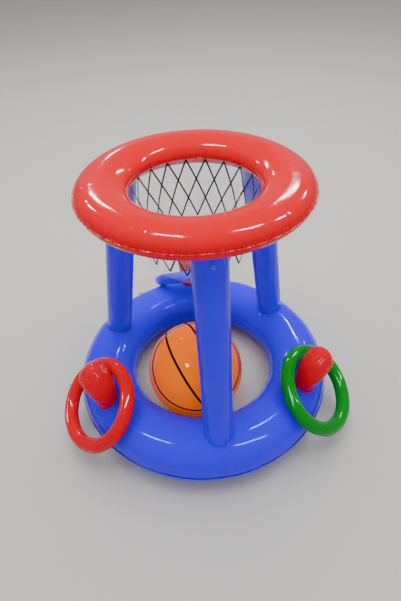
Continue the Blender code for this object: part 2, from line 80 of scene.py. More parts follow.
BASE_RADIUS, BASE_HALF_WIDTH, BASE_HALF_HEIGHT = 0.2377, 0.0673, 0.0605
BASE_HEIGHT = BASE_HALF_HEIGHT - 0.0005
HOOP_RADIUS, HOOP_HALF_WIDTH, HOOP_HALF_HEIGHT = 0.166, 0.0477, 0.0273
HOOP_HEIGHT, HOOP_DISH = 0.560, math.radians(5.0)
LEG_RADIUS, LEG_FOOT_REACH, LEG_HEAD_REACH = 0.0312, 0.2345, 0.1519
LEG_AZIMUTHS = {"front": -83.5, "right": 36.5, "left": 156.5}
PEG_FOOT_RADIUS, PEG_TOP_RADIUS, PEG_LENGTH = 0.0228, 0.0335, 0.103
PEG_DOME, PEG_NECK, PEG_REACH = 0.025, 0.008, BASE_RADIUS + 0.0208
PEGS = {"right": (-27.3, 7.0), "rear": (95.5, 4.0), "left": (-147.8, 2.0)}
TOSS_RADIUS, TOSS_TUBE_RADIUS = 0.0887, 0.0157
TOSS_RINGS = {"green": (-27.3, 40.0, 170.0), "red": (-147.8, 41.0, 250.0), "blue": (95.5, 41.0, 275.0)}
print("the stand's middle:", STAND.round(4))

# %% [markdown]
# ## Camera
# The picture was taken from a standing person's height, close in front, looking down at 43 degrees.
# The camera's place was solved from the outlines of both rings. A lens is 36 mm divided by the
# picture's long side and times the focal length, both in pixels.

# %% Camera
PICTURE_LONG_SIDE, FOCAL_LENGTH_PIXELS, SENSOR = 601, 420.0, 36.0
CAMERA_PLACE = STAND + np.array([0.0, -0.6871, 0.9171])
YAW, PITCH, ROLL = (math.radians(angle) for angle in (0.1, 42.92, -2.5))

ahead = np.array([math.sin(YAW) * math.cos(PITCH), math.cos(YAW) * math.cos(PITCH), -math.sin(PITCH)])
level_right = np.array([math.cos(YAW), -math.sin(YAW), 0.0])
level_up = np.cross(level_right, ahead)
right = math.cos(ROLL) * level_right + math.sin(ROLL) * level_up
above = -math.sin(ROLL) * level_right + math.cos(ROLL) * level_up

camera_data = bpy.data.cameras.new("camera")
camera_data.sensor_width = SENSOR
camera_data.lens = SENSOR * FOCAL_LENGTH_PIXELS / PICTURE_LONG_SIDE
camera = bpy.data.objects.new("camera", camera_data)
camera.matrix_world = Matrix.Translation(CAMERA_PLACE) @ Matrix(
    [[right[i], above[i], -ahead[i]] for i in range(3)]
).to_4x4()
bpy.context.scene.collection.objects.link(camera)
bpy.context.scene.camera = camera
print("lens:", round(camera_data.lens, 2), "mm")

# %% [markdown]
# ## Colour and node helpers
# Colours are written as sRGB hex values, as a paint program shows them, and one function turns them
# to the linear values that a shader works in. One more function adds a node, sets its properties and
# fills or links its sockets, so that a material reads as a list of what it is made of.

# %% Colour and node helpers
def linear(hex_colour):
    """The linear RGBA of an sRGB hex colour."""
    channels = [int(hex_colour[i:i + 2], 16) / 255 for i in (1, 3, 5)]
    return (*[c / 12.92 if c <= 0.04045 else ((c + 0.055) / 1.055) ** 2.4 for c in channels], 1.0)


def add_node(tree, kind, settings=None, inputs=None):
    """Adds one node, sets its properties, and fills or links its sockets."""
    node = tree.nodes.new(kind)
    for name, value in (settings or {}).items():
        setattr(node, name, value)
    for name, value in (inputs or {}).items():
        if isinstance(value, bpy.types.NodeSocket):
            tree.links.new(value, node.inputs[name])
        else:
            node.inputs[name].default_value = value
    return node


def new_material(name, constants):
    """A material with its Principled shader, whose constant sockets are set directly."""
    material = bpy.data.materials.new(name)
    material.use_nodes = True
    tree = material.node_tree
    shader = tree.nodes["Principled BSDF"]
    for socket, value in constants.items():
        shader.inputs[socket].default_value = value
    return material, tree, shader


def object_place(tree):
    """The socket with a point's place in the piece's own frame, in metres."""
    return add_node(tree, "ShaderNodeTexCoord").outputs["Object"]


# %% [markdown]
# ## Soft PVC film
# The chambers are plasticised PVC film, calendered between polished rollers: about 0.2 mm thick,
# glossy, and dyed right through. Its gloss is that of a plastic with an IOR of 1.53. Blown up, the
# film keeps slow ripples a few centimetres long and a finer unevenness of some millimetres, which
# make the edges of highlights waver. The dye varies a little, and hands leave faint smudges. The
# creases get a painted highlight: their colour is paler than the dye.

# %% Soft PVC film
RIPPLE_LENGTH, RIPPLE_DEPTH = 0.030, 0.00016
PEEL_LENGTH, PEEL_DEPTH = 0.0045, 0.00003
SMUDGE_LENGTH = 0.035
DYE_CLOUD_LENGTH = 0.09


def soft_pvc(name, colour, shade, crease_glint, gleam, roughness):
    """Glossy calendered PVC film, dyed in one colour that drifts towards a shade, with a painted highlight in its
    creases.

    The gleam tints the soft reflections with the dye, as light that enters the clear top of the film does.
    The fold attribute of a skin says how sharply it is folded at each point, and there the film is painted towards
    the pale crease colour as a highlight.
    """
    constants = {"IOR": 1.53, "Specular IOR Level": 0.36, "Specular Tint": linear(gleam)}
    material, tree, shader = new_material(name, constants)
    place = object_place(tree)
    cloud = add_node(tree, "ShaderNodeTexNoise", None, {"Vector": place, "Scale": 1 / DYE_CLOUD_LENGTH})
    dye = add_node(tree, "ShaderNodeMix", {"data_type": "RGBA"}, {
        "Factor": cloud.outputs["Fac"], 6: linear(colour), 7: linear(shade),
    })
    # Painted highlight: where the skin is folded, the dye is mixed towards the pale crease colour, standing in for
    # glints on the creases.
    folded = add_node(tree, "ShaderNodeAttribute", {"attribute_name": "crease_glint_mask"})
    painted_glint = add_node(tree, "ShaderNodeMapRange", None, {
        "Value": folded.outputs["Fac"], "From Min": 0.40, "From Max": 0.95, "To Max": 0.70,
    })
    film = add_node(tree, "ShaderNodeMix", {"data_type": "RGBA"}, {
        "Factor": painted_glint.outputs["Result"], 6: dye.outputs[2], 7: linear(crease_glint),
    })
    tree.links.new(film.outputs[2], shader.inputs["Base Color"])
    smudge = add_node(tree, "ShaderNodeTexNoise", None, {
        "Vector": place, "Scale": 1 / SMUDGE_LENGTH, "Detail": 4.0, "Roughness": 0.6,
    })
    sheen = add_node(tree, "ShaderNodeMapRange", None, {
        "Value": smudge.outputs["Fac"], "From Min": 0.35, "From Max": 0.7,
        "To Min": roughness, "To Max": roughness + 0.04,
    })
    tree.links.new(sheen.outputs["Result"], shader.inputs["Roughness"])
    ripple = add_node(tree, "ShaderNodeTexNoise", None, {
        "Vector": place, "Scale": 1 / RIPPLE_LENGTH, "Detail": 1.0,
    })
    slow = add_node(tree, "ShaderNodeBump", None, {
        "Height": ripple.outputs["Fac"], "Distance": RIPPLE_DEPTH, "Strength": 0.5,
    })
    peel = add_node(tree, "ShaderNodeTexNoise", None, {
        "Vector": place, "Scale": 1 / PEEL_LENGTH, "Detail": 2.0,
    })
    fine = add_node(tree, "ShaderNodeBump", None, {
        "Height": peel.outputs["Fac"], "Distance": PEEL_DEPTH, "Strength": 0.6,
        "Normal": slow.outputs["Normal"],
    })
    tree.links.new(fine.outputs["Normal"], shader.inputs["Normal"])
    return material


BLUE_PVC = soft_pvc("blue calendered PVC film", "#3405ff", "#3005f2", "#6270ff", "#5c66ff", 0.07)
PEG_PVC = soft_pvc("red peg PVC film", "#e00a24", "#d60920", "#f07a80", "#ff80a0", 0.09)
PEG_PVC.node_tree.nodes["Principled BSDF"].inputs["Specular IOR Level"].default_value = 0.14
RED_PVC = soft_pvc("red calendered PVC film", "#dc061b", "#d20519", "#f07a80", "#ff80a0", 0.07)
GREEN_PVC = soft_pvc("green calendered PVC film", "#008420", "#007c1c", "#48b060", "#60d880", 0.07)
print("film colours:", [m.name for m in (BLUE_PVC, RED_PVC, GREEN_PVC)])

# %% Welded PVC film
# Size of the pale flecks painted along a weld as highlights.
FLECK_LENGTH = 0.0038


def welded_pvc(name, colour, fleck_glint, gleam):
    """The pressed edge of a weld: the same film, with pale flecks painted along it as highlights on its small
    folds.
    """
    material = soft_pvc(name, colour, colour, fleck_glint, gleam, 0.2)
    tree = material.node_tree
    shader = tree.nodes["Principled BSDF"]
    dye = shader.inputs["Base Color"].links[0].from_socket
    # Painted highlight: pale flecks from a noise stand in for glints on the weld's small folds.
    grain = add_node(tree, "ShaderNodeTexNoise", None, {
        "Vector": object_place(tree), "Scale": 1 / FLECK_LENGTH, "Detail": 1.0,
    })
    painted_flecks = add_node(tree, "ShaderNodeMapRange", None, {
        "Value": grain.outputs["Fac"], "From Min": 0.52, "From Max": 0.66,
    })
    pale = add_node(tree, "ShaderNodeMix", {"data_type": "RGBA"}, {
        "Factor": painted_flecks.outputs["Result"], 6: dye, 7: linear(fleck_glint),
    })
    tree.links.new(pale.outputs[2], shader.inputs["Base Color"])
    return material


BLUE_WELD = welded_pvc("blue welded PVC film", "#180c98", "#2418c8", "#7080ff")
RED_WELD = welded_pvc("red welded PVC film", "#d20415", "#f07c80", "#ff8ca0")
print("welds:", BLUE_WELD.name, RED_WELD.name)

# %% [markdown]
# ## Clear PVC and printing ink
# The skirt is a clear PVC film of 0.2 mm. It is nearly invisible face on and shows by its haze and
# its highlights, so it is a thin glossy surface with a low alpha. The valves are moulded from clear
# PVC, several times thicker, so they look milky. The net is a screen print: a matt black ink.

# %% Clear PVC and printing ink
HAZE_LENGTH = 0.030


def clear_film(name):
    """Thin clear film: alpha for the haze, a glossy surface for the glints."""
    constants = {"IOR": 1.53, "Base Color": linear("#f2effa"), "Roughness": 0.09, "Specular IOR Level": 0.6}
    material, tree, shader = new_material(name, constants)
    haze = add_node(tree, "ShaderNodeTexNoise", None, {
        "Vector": object_place(tree), "Scale": 1 / HAZE_LENGTH, "Detail": 3.0,
    })
    cover = add_node(tree, "ShaderNodeMapRange", None, {
        "Value": haze.outputs["Fac"], "From Min": 0.3, "From Max": 0.75, "To Min": 0.05, "To Max": 0.15,
    })
    tree.links.new(cover.outputs["Result"], shader.inputs["Alpha"])
    return material


def moulded_clear_pvc(name, pale, deep):
    """Thick clear PVC from a mould: milky, with a soft gloss."""
    constants = {
        "IOR": 1.45, "Transmission Weight": 0.75, "Roughness": 0.16,
    }
    material, tree, shader = new_material(name, constants)
    cloud = add_node(tree, "ShaderNodeTexNoise", None, {
        "Vector": object_place(tree), "Scale": 1 / 0.004, "Detail": 2.0,
    })
    milk = add_node(tree, "ShaderNodeMix", {"data_type": "RGBA"}, {
        "Factor": cloud.outputs["Fac"], 6: linear(pale), 7: linear(deep),
    })
    tree.links.new(milk.outputs[2], shader.inputs["Base Color"])
    return material


def screen_print_ink(name):
    """Black screen-print ink, a little uneven in its cover."""
    material, tree, shader = new_material(name, {"IOR": 1.5, "Specular IOR Level": 0.4})
    grain = add_node(tree, "ShaderNodeTexNoise", None, {
        "Vector": object_place(tree), "Scale": 1 / 0.0012, "Detail": 2.0,
    })
    cover = add_node(tree, "ShaderNodeMix", {"data_type": "RGBA"}, {
        "Factor": grain.outputs["Fac"], 6: linear("#030303"), 7: linear("#0a090a"),
    })
    tree.links.new(cover.outputs[2], shader.inputs["Base Color"])
    dull = add_node(tree, "ShaderNodeMapRange", None, {
        "Value": grain.outputs["Fac"], "To Min": 0.35, "To Max": 0.55,
    })
    tree.links.new(dull.outputs["Result"], shader.inputs["Roughness"])
    return material


CLEAR_FILM = clear_film("clear calendered PVC film")
CLEAR_MOULDED = moulded_clear_pvc("clear moulded PVC", "#eef2ff", "#dfe6ff")
BLUE_MOULDED = moulded_clear_pvc("bluish clear moulded PVC", "#8a90ff", "#6a72ff")
BLACK_INK = screen_print_ink("black screen-print ink")
print("clear and printed:", CLEAR_FILM.name, CLEAR_MOULDED.name, BLACK_INK.name)

# %% [markdown]
# ## From points to a piece
# Every skin here is a grid of points: rows that each run once round. A grid can close on itself, as
# a ring does, or end in a pole at each end, as a ball does. One function makes the faces of such a
# shell, and another joins shells into a piece, which rides on its CAD body and stands for its node.

# %% Shells and pieces
def outwards(azimuth):
    """The level unit vector at an azimuth in degrees."""
    return np.array([math.cos(math.radians(azimuth)), math.sin(math.radians(azimuth)), 0.0])


def unit(vector):
    """A vector at length one."""
    return np.asarray(vector, float) / np.linalg.norm(vector)


def shell(rows, closed=False, poles=()):
    """The points and faces of a grid of rows. A closed grid joins its last row to its first."""
    count, sides = rows.shape[:2]
    points = [rows.reshape(-1, 3)]
    last = count if closed else count - 1
    here = np.arange(last)[:, None] * sides + np.arange(sides)[None, :]
    beside = np.arange(last)[:, None] * sides + (np.arange(sides)[None, :] + 1) % sides
    step = sides * count
    quads = np.stack([here, beside, (beside + sides) % step, (here + sides) % step], axis=-1)
    faces = quads.reshape(-1, 4).tolist()
    for row, pole in zip((0, count - 1), poles):
        tip = sum(len(p) for p in points)
        points.append(np.asarray(pole, float).reshape(1, 3))
        start = row * sides
        faces += [[start + i, start + (i + 1) % sides, tip] for i in range(sides)]
    return np.concatenate(points), faces


def piece(name, shells, material, body, stands_for, sharp=None, crease_glint_mask=None):
    """A smooth mesh object of one or more closed shells, riding on a body in place of CAD nodes."""
    points, faces, offset = [], [], 0
    for shell_points, shell_faces in shells:
        points.append(shell_points)
        faces += [[corner + offset for corner in face] for face in shell_faces]
        offset += len(shell_points)
    mesh = bpy.data.meshes.new(name)
    mesh.from_pydata(np.concatenate(points).tolist(), [], faces)
    built = bmesh.new()
    built.from_mesh(mesh)
    bmesh.ops.recalc_face_normals(built, faces=built.faces)
    built.to_mesh(mesh)
    built.free()
    mesh.shade_smooth()
    # The fold mask goes on the mesh, and the material paints its crease highlight from it.
    if crease_glint_mask is not None:
        values = np.zeros(len(mesh.vertices))
        values[:crease_glint_mask.size] = crease_glint_mask.reshape(-1)
        mesh.attributes.new("crease_glint_mask", "FLOAT", "POINT").data.foreach_set("value", values)
    if sharp:
        mesh.set_sharp_from_angle(angle=math.radians(sharp))
    made = bpy.data.objects.new(name, mesh)
    bpy.context.scene.collection.objects.link(made)
    mesh.materials.append(material)
    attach(made, body)
    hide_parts(*stands_for)
    return made


# %% [markdown]
# ## Wrinkles
# Two flat sheets are welded along a curve and blown up. The edge of the sheet is then longer than
# the space it has, so it gathers: short creases stand square to the weld, deep at the weld and
# fading out within some centimetres. A simulation could fold them, but creases placed one by one
# keep their number and depth under control. Each has its own place, depth, reach, width and slant.

# %% Wrinkles
def gathers(seed, length, count, depth, reach, width):
    """Random creases along a weld that closes on itself, all in metres."""
    draw = np.random.default_rng(seed)
    return {
        "length": length,
        "place": (np.arange(count) + draw.uniform(0.0, 1.0, count)) * length / count,
        "depth": depth * draw.uniform(0.15, 1.0, count) ** 1.5,
        "reach": reach * draw.uniform(0.35, 1.5, count),
        "width": width * draw.uniform(0.6, 1.5, count),
        "slant": draw.normal(0.0, 0.22, count),
    }


def gathered(creases, along, away):
    """How deep the skin sinks at points given by their distance along a weld and away from it."""
    sunk = np.zeros(np.broadcast(along, away).shape)
    length = creases["length"]
    for i, place in enumerate(creases["place"]):
        reach, width = creases["reach"][i], creases["width"][i]
        aside = (along - place - creases["slant"][i] * away + length / 2) % length - length / 2
        spread = width * (0.55 + away / reach)
        sunk += creases["depth"][i] * np.exp(-((aside / spread) ** 2) - (away / reach) ** 2)
    return sunk


def uneven(seed, along, around, depth, waves=9):
    """Slow unevenness over two angles in radians: waves that close on themselves."""
    draw = np.random.default_rng(seed)
    lift = np.zeros(np.broadcast(along, around).shape)
    for _ in range(waves):
        turns, rolls = draw.integers(2, 17), draw.integers(-3, 4)
        phase = draw.uniform(0, 2 * math.pi)
        lift += draw.uniform(0.3, 1.0) * np.sin(turns * along + rolls * around + phase)
    return depth * lift / math.sqrt(waves)


def ring_points(centre, half_sizes, dish, turn, angle):
    """Points and normals of an oval ring about Z, at a turn about Z and an angle round the section."""
    out, up = half_sizes[0] * np.cos(angle), half_sizes[1] * np.sin(angle)
    reach = centre[0] + out * math.cos(dish) - up * math.sin(dish)
    height = centre[1] + out * math.sin(dish) + up * math.cos(dish)
    slope_out, slope_up = np.cos(angle) / half_sizes[0], np.sin(angle) / half_sizes[1]
    size = np.hypot(slope_out, slope_up)
    normal_out = (slope_out * math.cos(dish) - slope_up * math.sin(dish)) / size
    normal_up = (slope_out * math.sin(dish) + slope_up * math.cos(dish)) / size
    cos, sin = np.cos(turn), np.sin(turn)
    points = np.stack(np.broadcast_arrays(reach * cos, reach * sin, height), axis=-1)
    normals = np.stack(np.broadcast_arrays(normal_out * cos, normal_out * sin, normal_up), axis=-1)
    return points, normals


def ring_grid(steps, sides):
    """Turns about Z and section angles, the angles closer together at the outer and inner weld."""
    turn = np.arange(steps) * 2 * math.pi / steps
    even = np.arange(sides) * 2 * math.pi / sides
    return turn[None, :], (even - 0.30 * np.sin(2 * even))[:, None]


def ring_sink(ring, turn, angle):
    """How far a ring's skin lies inside its smooth oval: pinched and gathered at both welds."""
    mean = math.sqrt((ring["half_sizes"][0] ** 2 + ring["half_sizes"][1] ** 2) / 2)
    from_outer = np.abs((angle + math.pi) % (2 * math.pi) - math.pi) * mean
    from_inner = math.pi * mean - from_outer
    sunk = uneven(ring["seed"], turn, angle, ring["uneven"])
    for away, weld in ((from_outer, ring["outer"]), (from_inner, ring["inner"])):
        sunk = sunk + ring["pinch"] * np.exp(-away / ring["pinch_reach"])
        for creases in weld:
            sunk = sunk + gathered(creases, turn * creases["length"] / (2 * math.pi), away)
    return sunk


def ring_crease_glint_mask(ring, steps, sides):
    """How sharply a ring's skin is folded along the fine creases of both welds: the mask of its painted crease
    highlight.
    """
    turn, angle = ring_grid(steps, sides)
    mean = math.sqrt((ring["half_sizes"][0] ** 2 + ring["half_sizes"][1] ** 2) / 2)
    from_outer = np.abs((angle + math.pi) % (2 * math.pi) - math.pi) * mean
    crease_glint_mask = 0.0
    for away, weld, share in ((from_outer, ring["outer"], 1.0), (math.pi * mean - from_outer, ring["inner"], 0.3)):
        fine = weld[0]
        along = turn * fine["length"] / (2 * math.pi)
        crease_glint_mask = crease_glint_mask + share * gathered(fine, along, away) / max(fine["depth"])
    return crease_glint_mask


def ring_skin(ring, steps, sides, extra=None):
    """The rows of a ring's skin, each row once round Z."""
    turn, angle = ring_grid(steps, sides)
    points, normals = ring_points(ring["centre"], ring["half_sizes"], ring["dish"], turn, angle)
    sunk = ring_sink(ring, turn, angle)
    if extra is not None:
        sunk = sunk + extra(points)
    return points - normals * sunk[..., None]


def ring_flange(ring, side, steps, width, thickness, wave, seed):
    """The rows of a weld flange: the two sheets' edge, standing off the outer or inner weld."""
    turn = np.arange(steps) * 2 * math.pi / steps
    angle = np.full(steps, 0.0 if side == "outer" else math.pi)
    points, normals = ring_points(ring["centre"], ring["half_sizes"], ring["dish"], turn, angle)
    points = points - normals * ring_sink(ring, turn, angle)[:, None]
    creases = ring[side][0]
    along = turn * creases["length"] / (2 * math.pi)
    folded = gathered(creases, along, np.zeros(steps)) / max(creases["depth"])
    curl = wave * (uneven(seed, turn * 7, 0.0, 1.0) + 1.2 * folded)
    across = normals
    upwards = np.cross(across, np.stack([-np.sin(turn), np.cos(turn), 0 * turn], axis=-1))
    upwards = upwards * np.sign(upwards[:, 2:3])
    width = np.broadcast_to(width, turn.shape)[:, None]
    rows = []
    for out, up in ((-0.4, 0.5), (0.45, 0.5), (0.9, 0.42), (1.0, 0.0), (0.9, -0.42), (0.45, -0.5), (-0.4, -0.5)):
        bend = curl[:, None] * max(out, 0.0) ** 1.5
        rows.append(points + across * width * out + upwards * (up * thickness + bend))
    return np.stack(rows)


# %% [markdown]
# ## Base ring
# The float is two flat rings of film, welded along their outer and inner edges. Its section is a
# wide oval, a little lower than wide. Both welds gather, the outer one finely all the way round.
# Where legs and pegs are welded on top, the skin is drawn up and creases run out from their feet.
# The feet are found by walking down each tube until it meets the oval.

# %% Where the tubes meet the rings
BASE_OUTER_EDGE = 2 * math.pi * (BASE_RADIUS + BASE_HALF_WIDTH)
BASE_INNER_EDGE = 2 * math.pi * (BASE_RADIUS - BASE_HALF_WIDTH)
HOOP_OUTER_EDGE = 2 * math.pi * (HOOP_RADIUS + HOOP_HALF_WIDTH)
HOOP_INNER_EDGE = 2 * math.pi * (HOOP_RADIUS - HOOP_HALF_WIDTH)
BASE = {
    "centre": (BASE_RADIUS, BASE_HEIGHT), "half_sizes": (BASE_HALF_WIDTH, BASE_HALF_HEIGHT), "dish": 0.0,
    "outer": [gathers(11, BASE_OUTER_EDGE, 210, 0.0013, 0.009, 0.0022),
              gathers(15, BASE_OUTER_EDGE, 34, 0.0013, 0.024, 0.0036)],
    "inner": [gathers(12, BASE_INNER_EDGE, 100, 0.0010, 0.010, 0.0024),
              gathers(16, BASE_INNER_EDGE, 22, 0.0016, 0.030, 0.0040)],
    "pinch": 0.0010, "pinch_reach": 0.0035, "seed": 13, "uneven": 0.0004,
}
HOOP = {
    "centre": (HOOP_RADIUS, HOOP_HEIGHT), "half_sizes": (HOOP_HALF_WIDTH, HOOP_HALF_HEIGHT), "dish": HOOP_DISH,
    "outer": [gathers(21, HOOP_OUTER_EDGE, 250, 0.0019, 0.0075, 0.0014),
              gathers(25, HOOP_OUTER_EDGE, 44, 0.0015, 0.024, 0.0013)],
    "inner": [gathers(22, HOOP_INNER_EDGE, 90, 0.0010, 0.007, 0.0015),
              gathers(26, HOOP_INNER_EDGE, 30, 0.0012, 0.020, 0.0020)],
    "pinch": 0.0012, "pinch_reach": 0.0025, "seed": 23, "uneven": 0.00022,
}


def inside(ring, points):
    """Below zero inside a ring's oval tube, above zero outside it."""
    reach = np.hypot(points[..., 0], points[..., 1]) - ring["centre"][0]
    rise = points[..., 2] - ring["centre"][1]
    out = reach * math.cos(ring["dish"]) + rise * math.sin(ring["dish"])
    up = -reach * math.sin(ring["dish"]) + rise * math.cos(ring["dish"])
    return (out / ring["half_sizes"][0]) ** 2 + (up / ring["half_sizes"][1]) ** 2 - 1


def tube_frame(foot, axis, azimuth):
    """A tube's own frame: its foot, its axis, and the two directions across it."""
    across = outwards(azimuth)
    across = unit(across - axis * across.dot(axis))
    return {"foot": foot, "axis": axis, "out": across, "side": np.cross(axis, across)}


def around_tube(tube, turn):
    """The unit vectors square to a tube's axis at given turns."""
    return np.cos(turn)[..., None] * tube["out"] + np.sin(turn)[..., None] * tube["side"]


def meets(ring, tube, turn, radius, deep, clear):
    """How far along the axis each line of a tube's wall meets a ring. Deep is inside it, clear outside."""
    start = tube["foot"] + around_tube(tube, turn) * np.asarray(radius)[..., None]
    deep, clear = np.full(turn.shape, deep), np.full(turn.shape, clear)
    for _ in range(30):
        middle = (deep + clear) / 2
        is_deep = inside(ring, start + tube["axis"] * middle[:, None]) < 0
        deep, clear = np.where(is_deep, middle, deep), np.where(is_deep, clear, middle)
    return (deep + clear) / 2


def make_leg_frame(azimuth):
    """The frame of a leg, and its length between the base's crown and the hoop's middle height."""
    foot = outwards(azimuth) * LEG_FOOT_REACH + np.array([0, 0, BASE_HEIGHT + BASE_HALF_HEIGHT])
    head = outwards(azimuth) * LEG_HEAD_REACH + np.array([0, 0, HOOP_HEIGHT])
    return tube_frame(foot, unit(head - foot), azimuth), float(np.linalg.norm(head - foot))


def make_peg_frame(azimuth, lean):
    """The frame of a peg, with its foot on the base ring's shoulder."""
    drop = math.sqrt(1 - ((PEG_REACH - BASE_RADIUS) / BASE_HALF_WIDTH) ** 2)
    foot = outwards(azimuth) * PEG_REACH + np.array([0, 0, BASE_HEIGHT + BASE_HALF_HEIGHT * drop])
    lean = math.radians(lean)
    return tube_frame(foot, outwards(azimuth) * math.sin(lean) + np.array([0, 0, math.cos(lean)]), azimuth)


LEG_FRAMES = {side: make_leg_frame(azimuth) for side, azimuth in LEG_AZIMUTHS.items()}
PEG_FRAMES = {side: make_peg_frame(*place) for side, place in PEGS.items()}
print("leg length:", round(LEG_FRAMES["front"][1], 4), "m")

# %% Base ring
FOOT_GATHERS = {
    side: gathers(31 + i, 2 * math.pi * LEG_RADIUS, 17, 0.0013, 0.014, 0.0026)
    for i, side in enumerate(LEG_AZIMUTHS)
}
PEG_GATHERS = {
    side: gathers(41 + i, 2 * math.pi * PEG_FOOT_RADIUS, 15, 0.0014, 0.013, 0.0022)
    for i, side in enumerate(PEGS)
}


def foot_sink(points, tube, radius, creases):
    """How far creases that run out from a foot sink the skin it stands on."""
    apart = points - tube["foot"]
    along_axis = apart @ tube["axis"]
    across = np.hypot(apart @ tube["out"], apart @ tube["side"])
    turn = np.arctan2(apart @ tube["side"], apart @ tube["out"])
    away = np.maximum(across - radius, 0.0)
    near = (np.abs(along_axis) < 0.03) & (away < 0.05)
    sunk = gathered(creases, turn * radius, away)
    return np.where(near, sunk, 0.0)


def base_extra(points):
    """The creases of all feet on the base ring."""
    sunk = np.zeros(points.shape[:-1])
    for side in LEG_AZIMUTHS:
        sunk += foot_sink(points, LEG_FRAMES[side][0], LEG_RADIUS, FOOT_GATHERS[side])
    for side in PEGS:
        sunk += foot_sink(points, PEG_FRAMES[side], PEG_FOOT_RADIUS, PEG_GATHERS[side])
    return sunk


base_rows = ring_skin(BASE, 900, 88, base_extra)
base_rows[..., 2] = np.maximum(base_rows[..., 2], 0.0001)
piece("base_skin", [shell(base_rows + STAND, closed=True)], BLUE_PVC, "hoop_stand",
      ["base_ring"], crease_glint_mask=0.5 * ring_crease_glint_mask(BASE, 900, 88))
for side in ("outer", "inner"):
    rows = ring_flange(BASE, side, 1100, 0.0022 if side == "outer" else 0.0012, 0.0007, 0.0004, 14)
    piece(f"base_{side}_flange", [shell(rows + STAND, closed=True)], BLUE_WELD if side == "outer" else BLUE_PVC,
          "hoop_stand", [f"base_{side}_seam"])
print("base ring:", base_rows.shape[0] * base_rows.shape[1], "points")

# %% [markdown]
# ## Hoop
# The hoop is made as the base is, of red film. Its section is flatter, and the skirt's pull tips it
# inwards. Its outer weld is the most gathered line of the whole toy, so it has the most creases.

# %% Hoop
def hoop_extra(points):
    """The creases round the heads of the legs, on the hoop's underside."""
    sunk = np.zeros(points.shape[:-1])
    for i, side in enumerate(LEG_AZIMUTHS):
        tube, length = LEG_FRAMES[side]
        head = dict(tube, foot=tube["foot"] + tube["axis"] * (length - HOOP_HALF_HEIGHT))
        creases = gathers(51 + i, 2 * math.pi * LEG_RADIUS, 15, 0.0010, 0.010, 0.0024)
        sunk += foot_sink(points, head, LEG_RADIUS, creases)
    return np.where(points[..., 2] < HOOP_HEIGHT, sunk, 0.0)


hoop_rows = ring_skin(HOOP, 1180, 84, hoop_extra)
piece("hoop_skin", [shell(hoop_rows + STAND, closed=True)], RED_PVC, "hoop_stand",
      ["hoop_ring"], crease_glint_mask=ring_crease_glint_mask(HOOP, 1180, 84))
for side in ("outer", "inner"):
    rows = ring_flange(HOOP, side, 1180, 0.0032 if side == "outer" else 0.0018, 0.0007, 0.0007, 24)
    piece(f"hoop_{side}_flange", [shell(rows + STAND, closed=True)], RED_WELD if side == "outer" else RED_PVC,
          "hoop_stand", [f"hoop_{side}_seam"])
print("hoop:", hoop_rows.shape[0] * hoop_rows.shape[1], "points")

# %% [markdown]
# ## Legs
# A leg is a tube of film whose open ends are welded to the rings. Near each weld it is drawn in and
# gathered, with creases along its length. Its rows start on the base's oval and end on the hoop's.
# Round each foot and head lies the weld's rim, a narrow band of film that catches the light.

# %% Legs
def rim_band(ring, tube, radius, width, thickness, deep, clear, seed, lift):
    """The rows of a weld's rim round a tube: a thin band that lies on the ring's skin."""
    turn = np.arange(240) * 2 * math.pi / 240
    curl = thickness * 0.5 * uneven(seed, turn * 2, 0.0, 1.0)
    rows = []
    profile = ((-0.3, 0.0), (-0.3, 1.1), (0.5, 1.0), (0.92, 0.75), (1.0, 0.2), (0.92, -0.3))
    for out, up in profile:
        reach = np.full(turn.shape, radius + width * out)
        where = meets(ring, tube, turn, reach, deep, clear)
        rise = lift * (up * thickness + curl * max(out, 0.0))
        rows.append(tube["foot"] + around_tube(tube, turn) * reach[:, None]
                    + tube["axis"] * (where + rise)[:, None])
    return np.stack(rows)


CREASE_FADE = 0.012


def leg_rows(side, tube, length):
    """The rows of a leg's skin, from inside the base ring to inside the hoop."""
    turn = np.arange(120) * 2 * math.pi / 120
    radius = np.full(turn.shape, LEG_RADIUS)
    low = meets(BASE, tube, turn, radius, -0.03, 0.03) - 0.002
    high = meets(HOOP, tube, turn, radius, length, length - 0.06) + 0.002
    share = np.linspace(0, 1, 170)
    share = (share - 0.145 * np.sin(2 * math.pi * share))[:, None]
    height = low + (high - low) * share
    from_foot, from_head = height - low, high - height
    seed = sum(ord(letter) for letter in side)
    foot_creases = gathers(seed, 2 * math.pi * LEG_RADIUS, 15, 0.0013, 0.030, 0.0024)
    head_creases = gathers(seed + 1, 2 * math.pi * LEG_RADIUS, 13, 0.0012, 0.026, 0.0026)
    sunk = gathered(foot_creases, turn * LEG_RADIUS, from_foot)
    sunk = sunk + gathered(head_creases, turn * LEG_RADIUS, from_head)
    sunk = sunk + 0.0016 * np.exp(-from_foot / 0.006) + 0.0014 * np.exp(-from_head / 0.005)
    sunk = sunk + uneven(seed + 2, turn, height * 14, 0.0003)
    reach = LEG_RADIUS - sunk
    # Painted highlight: the creases near both welds are marked for the pale crease colour.
    crease_glint_mask = gathered(foot_creases, turn * LEG_RADIUS, from_foot) * np.exp(-from_foot / CREASE_FADE)
    crease_glint_mask = crease_glint_mask + gathered(head_creases, turn * LEG_RADIUS, from_head) * np.exp(-from_head / CREASE_FADE)
    skin = tube["foot"] + around_tube(tube, turn)[None] * reach[..., None] + height[..., None] * tube["axis"]
    return skin, crease_glint_mask / max(foot_creases["depth"])


